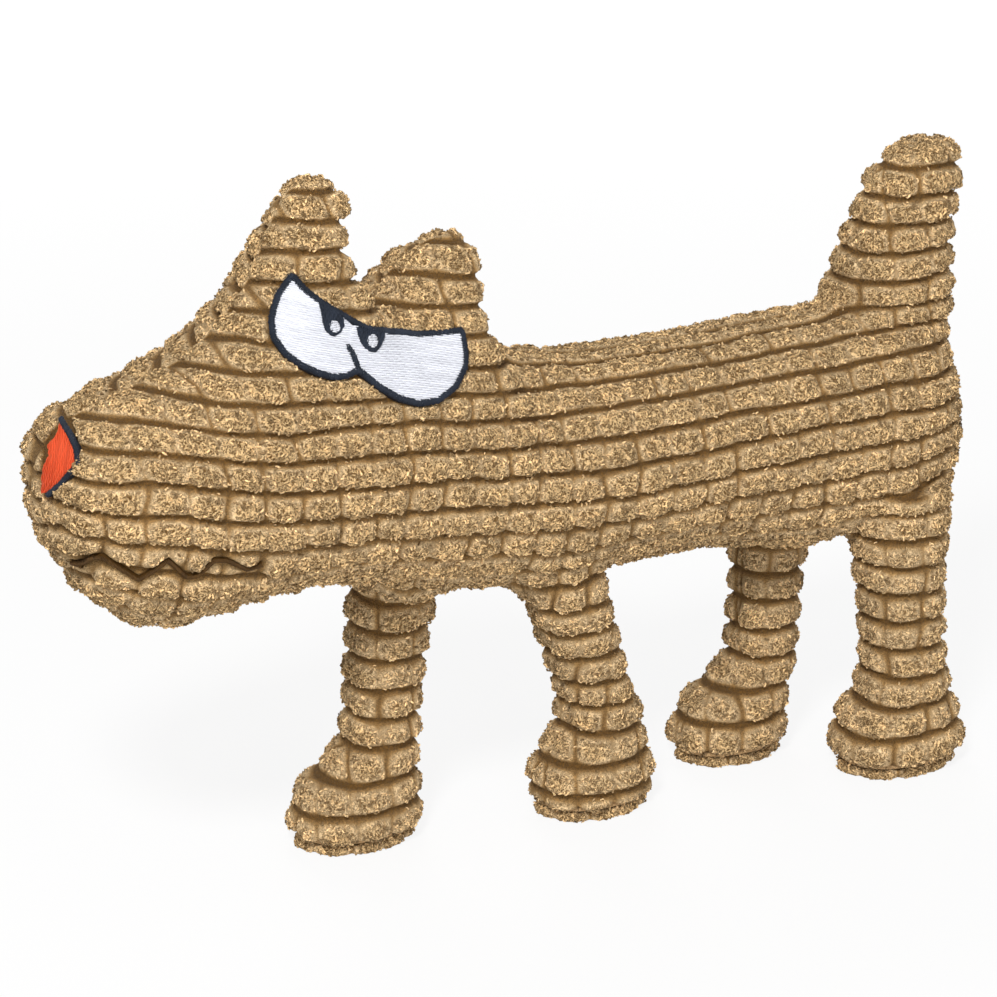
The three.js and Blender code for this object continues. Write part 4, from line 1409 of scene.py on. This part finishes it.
def finishPatch(name, node, base, stitches, thread, radius, rise):
    rows = sewStitches(name + "_rows", stitches, thread, radius, rise)
    piece = joinMeshes(name, base, rows, threads[thread])
    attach(piece, "head")
    thread + "_thread"
    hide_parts(node)
    print(name, "has", len(stitches), "stitches")


def fillPatch(name, node, outline, way, lift, thread, tilt, rowStep, stitchLength, radius):
    rows = fillRows(outline, way, lift, tilt, rowStep, stitchLength)
    finishPatch(name, node, patchBase(outline, way, lift), rows, thread, radius, stitchSizes["rise"])


def linePatch(name, node, line, way, width, lift, thread, closed=False, more=()):
    base = None
    stitches = []
    for number, part in enumerate([line, *more]):
        ring = closed and number == 0
        track = faceTrack(part, way, stitchSizes["satinStep"], ring)
        stitches += satinStitches(track, width, lift, stitchSizes["slant"])
        band = lineBase(track, lift, width, ring)
        base = joinMeshes("base", base, band, threads[thread]) if base else band
    finishPatch(name, node, base, stitches, thread, stitchSizes["radius"], stitchSizes["satinRise"])


# Thread, angle of the rows, step from row to row, length of a stitch and radius of the thread
fillings = {
    "eye_white": ("white", eyes["tilt"], 0.66 * mm, 3.4 * mm, 0.27 * mm),
    "pupil": ("navy", 1.1, 0.42 * mm, 5 * mm, 0.22 * mm),
    "highlight": ("white", eyes["tilt"], 0.48 * mm, 6 * mm, 0.22 * mm),
    "nose": ("orange", math.radians(80), 0.5 * mm, 6 * mm, 0.22 * mm),
}


def embroider():
    lift = eyes["lift"]
    outline = onSheet(eyes, eyes["outline"])
    parting = onSheet(eyes, eyes["parting"])
    whites = {"front": outline[:10] + parting + outline[22:], "rear": outline[9:22] + parting[::-1]}
    for part in ("front", "rear"):
        middle, radius = eyes["lights"][part]
        ((x, z),) = onSheet(eyes, [middle])
        light = [(x + radius * math.cos(a), z + radius * math.sin(a))
                 for a in np.linspace(0, 2 * math.pi, 20, endpoint=False)]
        pupil = onSheet(eyes, eyes["pupils"][part])
        for area, outlined, above in (("eye_white", whites[part], 0), ("pupil", pupil, eyes["pupilAbove"]),
                                      ("highlight", light, eyes["lightAbove"])):
            fillPatch(area + "_stitches_" + part, area + "_" + part, outlined, sideWay, lift + above,
                      *fillings[area])
    linePatch("eye_outline_stitches", "eye_outline", outline, sideWay, eyes["lineWidth"],
              lift + eyes["lineAbove"], "navy", True, [onSheet(eyes, eyes["divider"])])
    fillPatch("nose_stitches", "nose_patch", onSheet(nose, nose["outline"]), noseWay, nose["lift"],
              *fillings["nose"])
    linePatch("nose_edge_stitches", "nose_edge", onSheet(nose, nose["edge"]), noseWay, nose["lineWidth"],
              nose["lift"], "navy")
    linePatch("mouth_stitches", "mouth_line", onSheet(mouth, mouth["line"]), sideWay, mouth["lineWidth"],
              mouth["lift"], "brown")


embroider()


# Soles: a thin pad of the same plush under each foot, and the turned seam above it

soles = {
    "profile": [(0.0, -5.0), (0.0, -2.2), (0.5, -1.3), (1.5, -1.0), (2.6, -1.3), (3.3, -2.6), (3.4, -6.0)],
    "voxel": 0.7 * mm,
    "pile": 1.5 * mm,
    "seamHeight": 4.7 * mm,
    "seamInset": 1.3 * mm,
    "seamRadius": 0.85 * mm,
    "wander": 0.1 * mm,
    "turn": 18,          # millimetres of pile pattern for each radian round the foot
    "pileFrom": (0, 1.2 * mm),
    "pileTo": (2.6 * mm, 3.4 * mm),
    "curlFloor": 0.1 * mm,
}


# The outline of a foot seen from below, the way out of it at each point, and its middle.
def outlineAt(co, count=96):
    middle = (co[:, :2].min(0) + co[:, :2].max(0)) / 2
    angles = np.arange(count) * 2 * math.pi / count
    out = np.stack([np.cos(angles), np.sin(angles)], 1)
    reach = ((co[:, :2] - middle) @ out.T).max(0)[:, None]
    slope = (np.roll(reach, -1) - np.roll(reach, 1)) / (4 * math.pi / count)
    return reach * out + slope * out[:, ::-1] * (-1, 1) + middle, out, middle


# Lifts whatever lies below a height up to it.
def raisedTo(piece, height):
    co = pointsOf(piece.data)
    co[:, 2] = np.maximum(co[:, 2], height)
    setPoints(piece.data, co)


def makeSole(name):
    outline, out, middle = outlineAt(pointsOf(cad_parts[name].data))
    rings = [np.column_stack([outline + out * inset * mm, np.full(len(outline), z * mm)])
             for z, inset in soles["profile"]]
    count = len(outline)
    ends = [[*middle, soles["profile"][row][0] * mm] for row in (0, -1)]
    edges = [(i, (i + 1) % count) for i in range(count)]
    faces = [(r + i, r + j, r + count + j, r + count + i) for r in range(0, (len(rings) - 1) * count, count)
             for i, j in edges]
    foot = len(rings) * count
    last = foot - count
    faces += [face for i, j in edges for face in ((foot, j, i), (foot + 1, last + i, last + j))]
    pad = linkMesh(name + "_pad", np.concatenate([*rings, ends]), faces)
    remeshed(pad, soles["voxel"])
    co = pointsOf(pad.data)
    angle = np.arctan2(co[:, 1] - middle[1], co[:, 0] - middle[0])
    pile = smoothStep(co[:, 2], *soles["pileFrom"]) * (1 - smoothStep(co[:, 2], *soles["pileTo"]))
    flat = np.ones(len(co))
    for value, values in (("panelU", angle * soles["turn"] * mm), ("panelV", flat * (ribs["ribPitch"] * 0.5)),
                          ("seamNear", flat), ("pileShare", pile)):
        storeValues(pad.data, value, values)
    runTree(pad, pileTree, seed=3.0, material=plush,
            **{**ribs, "pileHeight": soles["pile"], "wander": soles["wander"]})
    raisedTo(pad, 0)
    runTree(pad, curlTree, material=plush, **curls)
    raisedTo(pad, soles["curlFloor"])
    return pad


def makeRimSeam(name, leg):
    co = pointsOf(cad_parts[leg].data)
    low = co[co[:, 2] < co[:, 2].min() + 3 * mm]
    outline, out, _ = outlineAt(low)
    line = outline - out * soles["seamInset"]
    radius = soles["seamRadius"]
    points = [(*(middle + way * math.cos(a) * radius), soles["seamHeight"] + math.sin(a) * radius)
              for middle, way in zip(line, out) for a in np.arange(8) * math.pi / 4]
    seam = linkMesh(name, points, tubeFaces(len(line), 8))
    for face in seam.data.polygons:
        face.use_smooth = True
    seam.data.materials.append(seamCloth)
    return seam


for leg in legs:
    sole = "sole_" + leg[4:]
    pad = makeSole(sole)
    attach(pad, leg)
    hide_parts(sole)
    seam = makeRimSeam("rim_seam_" + leg[4:], leg)
    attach(seam, leg)
print("soles and rim seams made")


# The squeaker stays where the CAD has it, inside the filling. Its bellows, which folds up against
# the rear disc when the cap is pressed, is copied as one unchanging piece and hung on the torso.

for node in ("squeaker_cap", "squeaker_base", "squeaker_reed_tube", "squeaker_reed"):
    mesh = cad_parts[node]
    for slot in mesh.material_slots:
        slot.material = squeakerPlastic
    if not mesh.material_slots:
        mesh.data.materials.append(squeakerPlastic)


def makeBellows():
    bellows = mergedCad(["squeaker_bellows"])
    bellows.name = "squeaker_folds"
    bellows.data.materials.append(squeakerPlastic)
    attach(bellows, "torso")
    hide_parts("squeaker_bellows")
    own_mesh(bellows)


makeBellows()
print("squeaker finished")


# Camera, floor and light

view = {
    "azimuth": -30,
    "elevation": 20,
    "distance": 1300 * mm,
    "target": (-9.5 * mm, 0, 117 * mm),
    "pictureWidth": 329 * mm,   # what the picture's width covers at the target
    "sensor": 36,
    "lampTarget": (0, 0, 120 * mm),
}


def placeCamera():
    camera = newObject("camera", bpy.data.cameras.new("camera"))
    a = math.radians(view["azimuth"])
    e = math.radians(view["elevation"])
    back = Vector((math.sin(a) * math.cos(e), -math.cos(a) * math.cos(e), math.sin(e)))
    camera.location = Vector(view["target"]) + back * view["distance"]
    camera.rotation_mode = "QUATERNION"
    camera.rotation_quaternion = (-back).to_track_quat("-Z", "Y")
    camera.data.sensor_width = view["sensor"]
    camera.data.lens = view["sensor"] * view["distance"] / view["pictureWidth"]
    camera.data.clip_start = 0.05
    camera.data.clip_end = 50
    bpy.context.scene.camera = camera


# Mixes a plain white in where the camera, gloss or glass looks at the surface.
def whiteToCamera(shaded, white, share):
    path = newNode(shaded.tree, "ShaderNodeLightPath").outputs
    camera, gloss, glass = [Value(path[f"Is {ray} Ray"]) for ray in ("Camera", "Glossy", "Transmission")]
    seen = maths("MAXIMUM", maths("MAXIMUM", camera, gloss), glass)
    return newValue(shaded.tree, "ShaderNodeMixShader", {0: seen * share, 1: shaded, 2: white})


stage = {
    "floorSize": 6.0,
    "floorColour": (0.8, 0.8, 0.8, 1),
    "floorWhite": (0.85, 1.0),      # how white the floor is near the toy and far from it
    "floorFade": (0.3, 1.2),
    "floorGlow": 1.02,
    "worldLight": 0.41,
}


def emptyTree(owner):
    owner.use_nodes = True
    owner.node_tree.nodes.clear()
    return owner.node_tree


def makeStage():
    size = stage["floorSize"]
    corners = [(-size, -size, 0), (size, -size, 0), (size, size, 0), (-size, size, 0)]
    floor = linkMesh("floor", corners, [(0, 1, 2, 3)])
    material = bpy.data.materials.new("paleFloor")
    tree = emptyTree(material)
    pale = newValue(tree, "ShaderNodeBsdfDiffuse", {"Color": stage["floorColour"]})
    white = newValue(tree, "ShaderNodeEmission", {"Strength": stage["floorGlow"]})
    away = vectorMaths("LENGTH", newValue(tree, "ShaderNodeTexCoord", output="Object"))
    share = stepped(away, *stage["floorFade"], *stage["floorWhite"])
    newNode(tree, "ShaderNodeOutputMaterial", {"Surface": whiteToCamera(pale, white, share)})
    floor.data.materials.append(material)
    world = bpy.data.worlds.new("studio")
    bpy.context.scene.world = world
    tree = emptyTree(world)
    dim, white = [newValue(tree, "ShaderNodeBackground", {"Color": (1, 1, 1, 1), "Strength": strength})
                  for strength in (stage["worldLight"], 1.0)]
    newNode(tree, "ShaderNodeOutputWorld", {"Surface": whiteToCamera(dim, white, 1.0)})


lamps = {
    "keyLamp": {"place": (-0.85, -0.95, 1.4), "size": 0.35, "power": 22.5},
    "fillLamp": {"place": (-0.3, -1.9, 0.2), "size": 0.8, "power": 15},
    "backLamp": {"place": (0.6, 1.4, 1.3), "size": 1.0, "power": 8},
}


def addLamp(name, place, size, power):
    lamp = bpy.data.lights.new(name, "AREA")
    lamp.shape = "DISK"
    lamp.size = size
    lamp.energy = power
    holder = newObject(name, lamp)
    holder.location = place
    holder.rotation_mode = "QUATERNION"
    holder.rotation_quaternion = (Vector(view["lampTarget"]) - Vector(place)).to_track_quat("-Z", "Y")


placeCamera()
makeStage()
for name, lamp in lamps.items():
    addLamp(name, **lamp)
bpy.context.scene.view_settings.view_transform = "Standard"

print("stage set")
